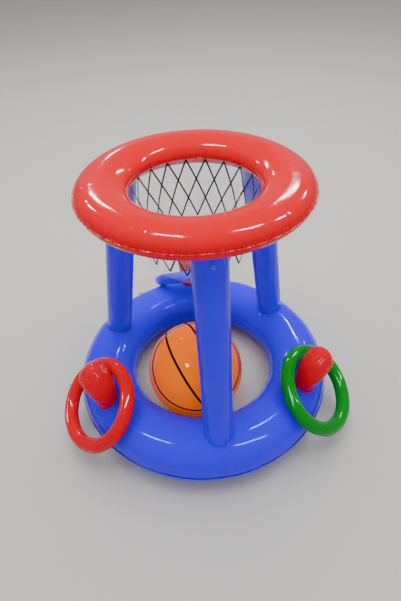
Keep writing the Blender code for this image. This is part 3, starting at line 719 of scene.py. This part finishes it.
for index, (side, (tube, length)) in enumerate(LEG_FRAMES.items()):
    rows, crease_glint_mask = leg_rows(side, tube, length)
    poles = (rows[0].mean(axis=0) + STAND, rows[-1].mean(axis=0) + STAND)
    piece(f"leg_{side}_skin", [shell(rows + STAND, poles=poles)], BLUE_PVC, "hoop_stand",
          [f"leg_{side}"], crease_glint_mask=crease_glint_mask)
    foot = rim_band(BASE, tube, LEG_RADIUS, 0.0026, 0.0008, -0.03, 0.03, 61 + index, 1)
    piece(f"leg_{side}_foot_rim", [shell(foot + STAND, closed=True)], BLUE_PVC, "hoop_stand",
          [f"leg_{side}_foot_weld"])
    head = rim_band(HOOP, tube, LEG_RADIUS, 0.0028, 0.0008, length, length - 0.06, 71 + index, -1)
    piece(f"leg_{side}_head_rim", [shell(head + STAND, closed=True)], RED_PVC, "hoop_stand",
          [f"leg_{side}_head_weld"])
print("legs:", list(LEG_FRAMES))

# %% [markdown]
# ## Pegs
# A peg is a tapered side panel with a round cap welded on its wide end. The cap blows up into a low
# dome, and the weld at its rim gathers both panels into short creases that glint all round, from the
# lamps and from a painted highlight along them. The narrow foot is welded to the base ring. Its
# outline is a straight flank between two soft bends.

# %% Pegs
PEG_BULGE, PEG_RIM_ROUNDING = 0.0028, 0.0030
PEG_BENDS = {"right": (37.7, 68.6), "rear": (100.0, 20.0), "left": (136.0, 62.0)}
PEG_BEND_START = 0.0156
PEG_WIDENING = {"right": 1.0, "rear": 1.0, "left": 1.1}


def peg_outline(share, top_radius):
    """Radius and height of a peg at a share of its outline: 0 at the neck, 1 at the rim, 2 at the tip."""
    shoulder = PEG_LENGTH - PEG_DOME
    flank = np.clip(share, 0, 1)
    radius = PEG_FOOT_RADIUS + (top_radius - PEG_FOOT_RADIUS) * flank - PEG_RIM_ROUNDING * flank ** 4
    height = PEG_NECK + (shoulder - PEG_NECK) * flank
    turn = np.clip(share - 1, 0, 1) * math.pi / 2
    return radius * np.cos(turn), height + PEG_DOME * np.sin(turn)


def bent(tube, side, turn, reach, height):
    """Points round a peg whose upper part flops over towards one azimuth."""
    azimuth, total = PEG_BENDS[side]
    total = math.radians(total)
    flop = outwards(azimuth)
    flop = unit(flop - tube["axis"] * flop.dot(tube["axis"]))
    curve = (PEG_LENGTH - PEG_BEND_START) / total
    swing = np.maximum(height - PEG_BEND_START, 0) / curve
    rise = np.minimum(height, PEG_BEND_START) + curve * np.sin(swing)
    shift = curve * (1 - np.cos(swing))
    spoke = around_tube(tube, turn)
    along_flop = (spoke @ flop)[:, None]
    turned = flop * np.cos(swing)[:, None] - tube["axis"] * np.sin(swing)[:, None]
    spoke = spoke + along_flop * (turned - flop)
    return tube["foot"] + rise[:, None] * tube["axis"] + shift[:, None] * flop + spoke * reach[:, None]


def peg_rows(side, tube):
    """The rows of a peg's skin and the tip of its dome."""
    turn = np.arange(132) * 2 * math.pi / 132
    seed = 80 + sum(ord(letter) for letter in side)
    rim = gathers(seed, 2 * math.pi * PEG_TOP_RADIUS, 44, 0.0036, 0.0064, 0.0015)
    foot = gathers(seed + 1, 2 * math.pi * PEG_FOOT_RADIUS, 13, 0.0013, 0.018, 0.0022)
    low = meets(BASE, tube, turn, np.full(turn.shape, PEG_FOOT_RADIUS), -0.03, 0.02) - 0.002
    outer_side = 0.5 + 0.5 * np.cos(turn)
    rows, crease_glint_mask = [], []
    for share in np.linspace(0, 1, 9)[:-1]:
        height = low + (PEG_NECK - low) * share
        reach = PEG_FOOT_RADIUS - gathered(foot, turn * PEG_FOOT_RADIUS, height - low)
        reach = reach - 0.0012 * np.exp(-(height - low) / 0.004)
        rows.append(bent(tube, side, turn, reach, height))
        crease_glint_mask.append(np.zeros(turn.shape))
    shares = np.concatenate([1 - (1 - np.linspace(0, 1, 52)) ** 1.6, 1 + np.linspace(0, 1, 40)[1:-1] ** 1.5])
    for share in shares:
        radius, height = peg_outline(share, PEG_TOP_RADIUS * PEG_WIDENING[side])
        flank_run = (PEG_LENGTH - PEG_DOME - PEG_NECK) * abs(share - 1)
        dome_run = PEG_TOP_RADIUS * abs(share - 1) * 1.2
        away = flank_run if share < 1 else dome_run
        sunk = gathered(rim, turn * PEG_TOP_RADIUS, np.full(turn.shape, away))
        # Painted highlight: the creases round the rim are marked, strongly, for the pale crease colour.
        crease_glint_mask.append(1.8 * sunk / max(rim["depth"]))
        sunk = sunk + 0.0008 * math.exp(-away / 0.0016)
        sunk = sunk + gathered(foot, turn * PEG_FOOT_RADIUS, height - low) * (share < 1)
        if share < 1:
            sunk = sunk - PEG_BULGE * outer_side * math.sin(math.pi * share) ** 0.8
        lean = np.clip(share - 1, 0, 1) * math.pi / 2
        reach = radius - sunk * math.cos(lean)
        rows.append(bent(tube, side, turn, reach, height - sunk * math.sin(lean)))
    tip = bent(tube, side, np.zeros(1), np.zeros(1), np.full(1, PEG_LENGTH))[0]
    return np.stack(rows), tip, np.stack(crease_glint_mask)


for index, (side, tube) in enumerate(PEG_FRAMES.items()):
    rows, tip, crease_glint_mask = peg_rows(side, tube)
    poles = (rows[0].mean(axis=0) + STAND, tip + STAND)
    piece(f"peg_{side}_skin", [shell(rows + STAND, poles=poles)], PEG_PVC, "hoop_stand",
          [f"peg_{side}"], crease_glint_mask=crease_glint_mask)
    foot = rim_band(BASE, tube, PEG_FOOT_RADIUS, 0.0013, 0.0006, -0.03, 0.02, 81 + index, 1)
    piece(f"peg_{side}_foot_rim", [shell(foot + STAND, closed=True)], PEG_PVC, "hoop_stand",
          [f"peg_{side}_foot_weld"])
print("pegs:", list(PEG_FRAMES))

# %% [markdown]
# ## Toss rings
# Three slim rings of the same film hang over the pegs. Each leans on its peg and lies on the base
# ring, so it stands at a tilt. The middle of its CAD box is its middle. Its welds run round the
# outside and the inside, and gather as the large rings' do, at a smaller scale.

# %% Toss rings
def toss_frame(colour):
    """The matrix of a toss ring: its middle, its axis, and its first direction up its slope."""
    azimuth, tilt, _ = TOSS_RINGS[colour]
    low, high = (np.array(corner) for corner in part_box(f"toss_ring_{colour}"))
    tilt = math.radians(tilt)
    axis = outwards(azimuth) * math.sin(tilt) + np.array([0, 0, math.cos(tilt)])
    first = -outwards(azimuth) * math.cos(tilt) + np.array([0, 0, math.sin(tilt)])
    return np.stack([first, np.cross(axis, first), axis], axis=1), (low + high) / 2


def make_toss_ring(colour, material, seed):
    """One toss ring with its two flanges, as one piece."""
    ring = {
        "centre": (TOSS_RADIUS, 0.0), "half_sizes": (TOSS_TUBE_RADIUS, TOSS_TUBE_RADIUS), "dish": 0.0,
        "outer": [gathers(seed, 2 * math.pi * (TOSS_RADIUS + TOSS_TUBE_RADIUS), 76, 0.0009, 0.006, 0.0016)],
        "inner": [gathers(seed + 1, 2 * math.pi * (TOSS_RADIUS - TOSS_TUBE_RADIUS), 44, 0.0006, 0.004, 0.0016)],
        "pinch": 0.0007, "pinch_reach": 0.0016, "seed": seed + 2, "uneven": 0.0002,
    }
    turning, middle = toss_frame(colour)
    shells = [shell(ring_skin(ring, 360, 44) @ turning.T + middle, closed=True)]
    crease_glint_mask = ring_crease_glint_mask(ring, 360, 44)
    for side in ("outer", "inner"):
        rows = ring_flange(ring, side, 330, 0.0013, 0.0006, 0.0002, seed + 3)
        shells.append(shell(rows @ turning.T + middle, closed=True))
    name = f"toss_ring_{colour}"
    return piece(f"{name}_skin", shells, material, name, [name], crease_glint_mask=0.8 * crease_glint_mask)


make_toss_ring("green", GREEN_PVC, 101)
make_toss_ring("red", RED_PVC, 111)
make_toss_ring("blue", BLUE_PVC, 121)
print("toss rings:", list(TOSS_RINGS))

# %% [markdown]
# ## Skirt and printed net
# A strip of clear film hangs from the hoop's inner weld and narrows downwards. It is free at its
# lower edge, so it waves a little more the lower it is. The net is printed on its outside, so its
# lines follow every wave: each line is a thin ribbon laid on the same surface as the film.

# %% Skirt
FILM_RADIUS, FILM_LOWER_RADIUS, FILM_DROP, FILM_THICKNESS = 0.1176, 0.1008, 0.138, 0.0003
FILM_TOP = float(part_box("net_film")[1][2])
FILM_GATHERS = gathers(131, 2 * math.pi * FILM_RADIUS, 26, 0.0016, 0.075, 0.0050)
FILM_FLUTES = 7


def on_film(turn, drop, proud=0.0):
    """Points of the film's outer face at turns in radians and drops in metres, or a little proud of it."""
    share = drop / FILM_DROP
    reach = FILM_RADIUS + (FILM_LOWER_RADIUS - FILM_RADIUS) * share + proud
    reach = reach + 0.0016 * share ** 1.3 * np.sin(FILM_FLUTES * turn + 1.0)
    reach = reach + 0.0009 * share * np.sin(13 * turn + 2.2 + 3 * share)
    reach = reach - gathered(FILM_GATHERS, turn * FILM_RADIUS, drop) * np.minimum(1.0, 0.15 + 6 * share)
    height = FILM_TOP - drop + 0 * turn
    return np.stack(np.broadcast_arrays(reach * np.cos(turn), reach * np.sin(turn), height), axis=-1) + STAND


film_turn = (np.arange(456) * 2 * math.pi / 456)[None, :]
film_drop = np.linspace(0, FILM_DROP, 56)[:, None]
outer_face = on_film(film_turn, film_drop)
inner_face = on_film(film_turn, film_drop, -FILM_THICKNESS)[::-1]
film_rows = np.concatenate([outer_face, inner_face])
film = piece("skirt_film", [shell(film_rows, closed=True)], CLEAR_FILM, "hoop_stand",
             ["net_film"], sharp=50)

# %% Printed net
NET_DIAMONDS, NET_LEVELS, NET_DROP, NET_LINE_WIDTH, NET_AZIMUTH = 19, 3, 0.119, 0.0034, 97.6
INK_THICKNESS = 0.00012


def net_line(first, way):
    """The rows of one printed line, from its peak at the top to its point at the bottom."""
    cell = math.pi / NET_DIAMONDS
    share = np.linspace(0, 1, 40)[:, None]
    turn = math.radians(NET_AZIMUTH) + cell * (first + way * NET_LEVELS * share)
    drop = 0.0012 + (NET_DROP - 0.0012) * share
    slope = math.atan2(NET_DROP / NET_LEVELS, cell * FILM_RADIUS)
    half = NET_LINE_WIDTH / 2
    across = np.array([[-half, half, half, -half]])
    back, front = -FILM_THICKNESS - INK_THICKNESS / 2, INK_THICKNESS
    lift = np.array([[back, back, front, front]])
    return on_film(turn + across * math.sin(slope) / FILM_RADIUS,
                   drop - way * across * math.cos(slope), lift)


lines = [net_line(2 * k, way) for k in range(NET_DIAMONDS) for way in (-1, 1)]
ends = [(line[0].mean(axis=0), line[-1].mean(axis=0)) for line in lines]
piece("printed_net", [shell(line, poles=end) for line, end in zip(lines, ends)], BLACK_INK,
      "hoop_stand", ["net_print"], sharp=30)
print("printed lines:", len(lines))

# %% [markdown]
# ## Ball
# The ball is orange PVC with the usual curved black lines, which are printed. The lines of such a
# ball are circles cut from the sphere by planes, so the material measures how far a point is from
# each plane and inks it where that is less than half a line's width.

# %% Ball
ball_low, ball_high = (np.array(corner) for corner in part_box("ball"))
BALL_CENTRE = np.array([(ball_low[0] + ball_high[0]) / 2, (ball_low[1] + ball_high[1]) / 2, 0.1119])
BALL_RADIUS = 0.1116
BALL_LINES = (
    ((0.865, 0.266, 0.425), -0.097, 0.0056),
    ((0.934, 0.347, -0.081), 0.0, 0.0062),
    ((-0.052, 0.511, -0.858), -0.468, 0.0062),
    ((0.922, 0.211, -0.325), 0.743, 0.0056),
)


def printed_glowing_ball_pvc(name):
    """Orange PVC film with black printed lines, each where a plane cuts the ball, and a painted glow: its colour is
    also emitted.
    """
    material = soft_pvc(name, "#ff7600", "#ff6a00", "#ffb080", "#ffc080", 0.07)
    tree = material.node_tree
    shader = tree.nodes["Principled BSDF"]
    dye = shader.inputs["Base Color"].links[0].from_socket
    spoke = add_node(tree, "ShaderNodeVectorMath", {"operation": "SUBTRACT"}, {
        0: object_place(tree), 1: tuple(BALL_CENTRE),
    })
    inked = None
    for normal, offset, width in BALL_LINES:
        height = add_node(tree, "ShaderNodeVectorMath", {"operation": "DOT_PRODUCT"}, {
            0: spoke.outputs["Vector"], 1: tuple(unit(normal)),
        })
        off_plane = add_node(tree, "ShaderNodeMath", {"operation": "SUBTRACT"}, {
            0: height.outputs["Value"], 1: offset * BALL_RADIUS,
        })
        apart = add_node(tree, "ShaderNodeMath", {"operation": "ABSOLUTE"}, {0: off_plane.outputs[0]})
        half = width / 2 * math.sqrt(1 - offset ** 2)
        line = add_node(tree, "ShaderNodeMapRange", None, {
            "Value": apart.outputs[0], "From Min": half * 0.85, "From Max": half * 1.15,
            "To Min": 1.0, "To Max": 0.0,
        })
        if inked is None:
            inked = line.outputs["Result"]
        else:
            inked = add_node(tree, "ShaderNodeMath", {"operation": "MAXIMUM"}, {
                0: inked, 1: line.outputs["Result"],
            }).outputs[0]
    printed = add_node(tree, "ShaderNodeMix", {"data_type": "RGBA"}, {
        "Factor": inked, 6: dye, 7: linear("#050302"),
    })
    tree.links.new(printed.outputs[2], shader.inputs["Base Color"])
    shader.inputs["Specular IOR Level"].default_value = 0.14
    # Painted glow: the ball's colour is also emitted, which brightens the orange.
    tree.links.new(printed.outputs[2], shader.inputs["Emission Color"])
    shader.inputs["Emission Strength"].default_value = 0.24
    return material


def ball_rows():
    """The rows of the ball between its two poles, which lie level and are drawn in a little."""
    tilt = np.linspace(0, math.pi, 98)[1:-1, None]
    turn = (np.arange(192) * 2 * math.pi / 192)[None, :]
    along = np.cos(tilt) + 0 * turn
    reach = BALL_RADIUS - uneven(141, turn, tilt * 2, 0.00025) * np.sin(tilt)
    pole, out, side = unit((0.9, -0.3, 0.2)), None, None
    out = unit(np.cross(pole, (0, 0, 1)))
    side = np.cross(pole, out)
    across = np.cos(turn)[..., None] * out + np.sin(turn)[..., None] * side
    return BALL_CENTRE + reach[..., None] * (along[..., None] * pole + np.sin(tilt)[..., None] * across), pole


ORANGE_GLOWING_PVC = printed_glowing_ball_pvc("orange printed PVC film, painted glow")
rows, pole = ball_rows()
poles = (BALL_CENTRE + pole * BALL_RADIUS, BALL_CENTRE - pole * BALL_RADIUS)
piece("ball_skin", [shell(rows, poles=poles)], ORANGE_GLOWING_PVC, "ball", ["ball"])
print("ball:", BALL_CENTRE.round(4))

# %% [markdown]
# ## Valves
# Each chamber has a small moulded valve: a stem through the skin, a lug at its lip, and a plug on a
# strap that bends where it meets the lug. The plug's strap turns about the hinge that the frame's
# joint gives. The toss rings' stems stand out; all others are pushed into their chambers.

# %% Valves
STEM_RADIUS, STEM_BORE_RADIUS, STEM_DEPTH = 0.0045, 0.0028, 0.0060
STEM_OUT, STEM_OUT_PUSHED_IN = 0.0085, 0.0016
PLUG_CAP_RADIUS, PLUG_CAP_THICKNESS, PLUG_PIN_LENGTH = 0.0046, 0.0011, 0.0030
LUG_REACH, LUG_WIDTH, LUG_THICKNESS = 0.0072, 0.0034, 0.0010
STRAP_REACH, STRAP_WIDTH, STRAP_THICKNESS = 0.0066, 0.0026, 0.0008


def lathe(outline, steps=48):
    """The rows of an outline of (radius, height) points turned about Z."""
    turn = np.arange(steps) * 2 * math.pi / steps
    return np.stack([
        np.stack([radius * np.cos(turn), radius * np.sin(turn), height + 0 * turn], axis=-1)
        for radius, height in outline
    ])


def slab(low, high, edge):
    """The rows of a flat bar between two corners, its long edges rounded, with a pole at each end."""
    middle = (low[2] + high[2]) / 2
    half_thick, half_wide = (high[2] - low[2]) / 2, (high[1] - low[1]) / 2
    turn = np.linspace(0, 2 * math.pi, 17)[:-1]
    wide = np.clip(1.6 * np.cos(turn), -1, 1) * half_wide
    thick = np.clip(1.6 * np.sin(turn), -1, 1) * half_thick
    rows = []
    for x, grown in ((low[0], 0.8), (low[0] + edge, 1.0), (high[0] - edge, 1.0), (high[0], 0.8)):
        rows.append(np.stack([x + 0 * turn, wide * grown, middle + thick * grown], axis=-1))
    return np.stack(rows), ((low[0], 0, middle), (high[0], 0, middle))


def valve_shells(stem_out):
    """The shells of a stem with its lug, and of a plug with its strap, in the valve's own frame."""
    lip = 0.0004
    stem = [
        (STEM_BORE_RADIUS, -STEM_DEPTH), (STEM_RADIUS, -STEM_DEPTH), (STEM_RADIUS, stem_out - 4 * lip),
        (STEM_RADIUS + lip, stem_out - 3 * lip), (STEM_RADIUS + lip, stem_out - lip),
        (STEM_RADIUS, stem_out), (STEM_BORE_RADIUS + lip, stem_out), (STEM_BORE_RADIUS, stem_out - lip),
    ]
    lug_low = ((STEM_BORE_RADIUS + STEM_RADIUS) / 2, -LUG_WIDTH / 2, stem_out - LUG_THICKNESS)
    lug, lug_ends = slab(lug_low, (LUG_REACH, LUG_WIDTH / 2, stem_out), lip)
    seat = stem_out + CLEARANCE
    top = seat + PLUG_CAP_THICKNESS
    plug = [
        (0.0015, stem_out - PLUG_PIN_LENGTH), (0.0022, stem_out - 0.5 * PLUG_PIN_LENGTH), (0.0022, seat),
        (PLUG_CAP_RADIUS - lip / 2, seat), (PLUG_CAP_RADIUS, seat + lip), (PLUG_CAP_RADIUS, top - lip),
        (PLUG_CAP_RADIUS - lip, top), (PLUG_CAP_RADIUS * 0.62, top), (PLUG_CAP_RADIUS * 0.55, top - lip),
    ]
    strap_high = (STRAP_REACH + STRAP_THICKNESS / 2, STRAP_WIDTH / 2, seat + STRAP_THICKNESS)
    strap, strap_ends = slab((0.0022, -STRAP_WIDTH / 2, seat), strap_high, lip)
    tips = ((0, 0, stem_out - PLUG_PIN_LENGTH), (0, 0, top - lip))
    return (
        [shell(lathe(stem), closed=True), shell(lug, poles=lug_ends)],
        [shell(lathe(plug), poles=tips), shell(strap, poles=strap_ends)],
    )


def placed_shells(shells, turning, origin):
    """Shells turned by a matrix and moved to an origin."""
    return [(points @ turning.T + origin, faces) for points, faces in shells]


def make_valve(owner, body, point, normal, along, stem_out):
    """One valve: the stem rides on the chamber's body, the plug on its own."""
    z = unit(normal)
    x = unit(np.asarray(along) - z * np.dot(along, z))
    turning = np.stack([x, np.cross(z, x), z], axis=1)
    stem, plug = valve_shells(stem_out)
    plastic = BLUE_MOULDED if owner.startswith(("base", "leg")) else CLEAR_MOULDED
    piece(f"{owner}_stem", placed_shells(stem, turning, point), plastic, body,
          [f"{owner}_valve"], sharp=40)
    piece(f"{owner}_plug_cap", placed_shells(plug, turning, point), plastic,
          f"{owner}_plug", [f"{owner}_valve_plug"], sharp=40)
    hinge = point + turning @ np.array([STRAP_REACH, 0, stem_out + CLEARANCE + STRAP_THICKNESS / 2])
    joint = [j for j in frame["joints"] if j["child"] == f"{owner}_plug"][0]
    return float(np.linalg.norm(hinge - np.array(joint["pos_m"])))


def ring_spot(ring, azimuth, angle):
    """A point of a ring's smooth surface and its normal."""
    turn, angle = np.array(math.radians(azimuth)), np.array(math.radians(angle))
    point, normal = ring_points(ring["centre"], ring["half_sizes"], ring["dish"], turn, angle)
    return point + STAND, normal


misses = {}
base_spot, hoop_spot = ring_spot(BASE, 126.0, 35.0), ring_spot(HOOP, 96.5, -50.0)
misses["base"] = make_valve("base", "hoop_stand", *base_spot, outwards(126.0 + 90), STEM_OUT_PUSHED_IN)
misses["hoop"] = make_valve("hoop", "hoop_stand", *hoop_spot, outwards(96.5 + 90), STEM_OUT_PUSHED_IN)
for side, (tube, length) in LEG_FRAMES.items():
    point = tube["foot"] + tube["axis"] * (length - 0.0437) + tube["out"] * LEG_RADIUS + STAND
    misses[side] = make_valve(f"leg_{side}", "hoop_stand", point, tube["out"], tube["axis"], STEM_OUT_PUSHED_IN)
ball_spoke = outwards(60) * math.cos(math.radians(50)) + np.array([0, 0, math.sin(math.radians(50))])
misses["ball"] = make_valve("ball", "ball", BALL_CENTRE + ball_spoke * BALL_RADIUS, ball_spoke,
                            outwards(60 + 90), STEM_OUT_PUSHED_IN)
for colour, (azimuth, tilt, valve) in TOSS_RINGS.items():
    turning, middle = toss_frame(colour)
    spoke = turning @ np.array([math.cos(math.radians(valve)), -math.sin(math.radians(valve)), 0])
    point = middle + spoke * (TOSS_RADIUS + TOSS_TUBE_RADIUS)
    name = f"toss_ring_{colour}"
    misses[colour] = make_valve(name, name, point, spoke, turning[:, 2], STEM_OUT)
print("hinges, distance from their joints in mm:", {k: round(v * 1000, 2) for k, v in misses.items()})

# %% [markdown]
# ## Floor and light
# The floor is plain, pale and matt, as a warehouse floor is. The light is that of a hall with rows
# of ceiling panels: each leaves one short bright streak on every glossy tube, and the large soft
# panel above fills the shade. The panels' places are where the streaks' reflections lead.

# %% Floor and light
def plain_floor(name):
    """Pale matt floor with a faint cloudiness."""
    material, tree, shader = new_material(name, {"Specular IOR Level": 0.3})
    cloud = add_node(tree, "ShaderNodeTexNoise", None, {
        "Vector": object_place(tree), "Scale": 3.0, "Detail": 3.0,
    })
    tone = add_node(tree, "ShaderNodeMix", {"data_type": "RGBA"}, {
        "Factor": cloud.outputs["Fac"], 6: linear("#b4b1ad"), 7: linear("#afaca9"),
    })
    tree.links.new(tone.outputs[2], shader.inputs["Base Color"])
    shader.inputs["Roughness"].default_value = 0.55
    return material


FLOOR_SIZE = 80.0
floor_mesh = bpy.data.meshes.new("floor")
half = FLOOR_SIZE / 2
floor_mesh.from_pydata([(-half, -half, 0), (half, -half, 0), (half, half, 0), (-half, half, 0)], [], [(0, 1, 2, 3)])
floor_mesh.materials.append(plain_floor("pale matt floor"))
floor = bpy.data.objects.new("floor", floor_mesh)
bpy.context.scene.collection.objects.link(floor)

CEILING = 2.6
TUBE_RADIANCE, HALO_RADIANCE = 220.0, 11.0
TUBE_WIDTHS = {"hoop": 0.085, "base": 0.095, "green": 0.14, "red": 0.14, "pegs": 0.30, "ball": 0.40}
HALO_SPREAD = 0.12
PANELS = (
    ("hoop", (-0.66, 0.42), (-0.22, 0.16)),
    ("hoop", (0.61, 0.38), (1.11, 0.50)),
    ("hoop", (-1.77, 3.45), (-1.06, 2.90)),
    ("hoop", (0.89, 3.38), (1.56, 3.12)),
    ("hoop", (2.66, 2.45), (2.68, 2.85)),
    ("hoop", (-2.35, 2.55), (-2.05, 2.05)),
    ("hoop", (1.52, 0.66), (2.00, 0.85)),
    ("hoop", (-1.30, 5.00), (-1.18, 5.35)),
    ("base", (-1.45, -0.38), (-0.75, -0.66)),
    ("base", (0.70, -1.15), (1.85, -1.30)),
    ("base", (0.70, 2.35), (1.25, 2.20)),
    ("base", (0.61, 0.38), (0.90, 0.44)),
    ("base", (-1.77, 3.45), (-1.06, 2.90)),
    ("base", (2.66, 2.45), (2.68, 2.85)),
    ("green", (0.20, -1.34), (1.05, -1.58)),
    ("green", (3.40, -0.98), (4.60, -0.90)),
    ("green", (1.29, 1.96), (2.98, 2.77)),
    ("green", (-1.18, -4.21), (-0.23, -0.97)),
    ("green", (-1.21, 3.00), (-0.90, 5.60)),
    ("red", (0.04, 2.11), (-1.01, 4.56)),
    ("red", (-1.12, -1.50), (1.60, -0.75)),
    ("red", (-4.60, -0.20), (-7.40, -0.16)),
    ("red", (0.10, 5.20), (0.17, 8.40)),
    ("pegs", (-0.66, 0.42), (-0.36, 0.24)),
    ("pegs", (-1.77, 3.45), (-1.42, 3.18)),
    ("ball", (-1.18, -1.60), (-0.86, -1.60)),
    ("ball", (-1.64, 2.22), (-1.53, 2.22)),
)
SOFT_PANEL_SIZE, SOFT_PANEL_POWER = 3.6, 190.0
FAR_WALL_PLACE, FAR_WALL_WIDTH, FAR_WALL_HEIGHTS, FAR_WALL_RADIANCE = (0.0, 6.5, 2.7), 9.0, (1.0, 2.0, 3.0), 0.16
FRONT_PANEL_PLACE, FRONT_PANEL_SIZE, FRONT_PANEL_POWER = (0.3, -3.2, 1.5), (2.4, 1.2), 40.0


def add_panel(name, place, size, power, turn=0.0, tilt=0.0, seen_in_gloss=True):
    """A rectangular light, which shines straight down unless it is tilted. The camera doesn't see it."""
    data = bpy.data.lights.new(name, "AREA")
    data.shape = "RECTANGLE"
    data.size, data.size_y = size
    data.energy = power
    lamp = bpy.data.objects.new(name, data)
    lamp.location = place
    lamp.rotation_euler = (tilt, 0, turn)
    lamp.visible_camera = False
    lamp.visible_glossy = seen_in_gloss
    bpy.context.scene.collection.objects.link(lamp)
    return lamp


def lit_pieces(name, *words):
    """A collection of the pieces whose names start with one of the words, for a lamp that lights only these."""
    lit = bpy.data.collections.new(name)
    for made in bpy.data.objects:
        if made.type == "MESH" and made.name.startswith(words):
            lit.objects.link(made)
    return lit


LIT = {
    "hoop": lit_pieces("lit_hoop", "hoop_", "skirt_", "printed_"),
    "base": lit_pieces("lit_base", "base_", "leg_"),
    "green": lit_pieces("lit_green", "toss_ring_green"),
    "red": lit_pieces("lit_red", "toss_ring_red", "toss_ring_blue"),
    "pegs": lit_pieces("lit_pegs", "peg_"),
    "ball": lit_pieces("lit_ball", "ball_"),
    "floor": lit_pieces("lit_floor", "floor"),
}
for index, (lit, start, end) in enumerate(PANELS):
    run = np.array(end) - np.array(start)
    middle = (np.array(start) + np.array(end)) / 2
    for kind, spread, radiance in (("tube", 0.0, TUBE_RADIANCE), ("halo", HALO_SPREAD, HALO_RADIANCE)):
        size = (float(np.hypot(*run)) + spread, TUBE_WIDTHS[lit] + spread)
        lamp = add_panel(f"{kind}_{index}", (*middle, CEILING), size, radiance * math.pi * size[0] * size[1],
                         turn=math.atan2(run[1], run[0]))
        lamp.visible_diffuse = False
        lamp.light_linking.receiver_collection = LIT[lit]
hall_size = 60.0
hall_light = add_panel("hall_light", (0, 2.0, 6.0), (hall_size, hall_size), 0.43 * math.pi * hall_size ** 2,
                       seen_in_gloss=False)
hall_light.light_linking.receiver_collection = LIT["floor"]
add_panel("soft_panel", (0, 1.0, CEILING + 0.3), (SOFT_PANEL_SIZE, SOFT_PANEL_SIZE), SOFT_PANEL_POWER,
          seen_in_gloss=False)
add_panel("front_panel", FRONT_PANEL_PLACE, FRONT_PANEL_SIZE, FRONT_PANEL_POWER, tilt=math.radians(70),
          seen_in_gloss=False)
for height in FAR_WALL_HEIGHTS:
    power = FAR_WALL_RADIANCE * math.pi * FAR_WALL_WIDTH * height
    add_panel(f"far_wall_{height}", FAR_WALL_PLACE, (FAR_WALL_WIDTH, height), power, tilt=math.radians(-80))

world = bpy.data.worlds.new("hall")
world.use_nodes = True
sky = world.node_tree.nodes["Background"]
sky.inputs["Color"].default_value = linear("#eceef2")
sky.inputs["Strength"].default_value = 0.34
bpy.context.scene.world = world
print("panels:", len(PANELS))
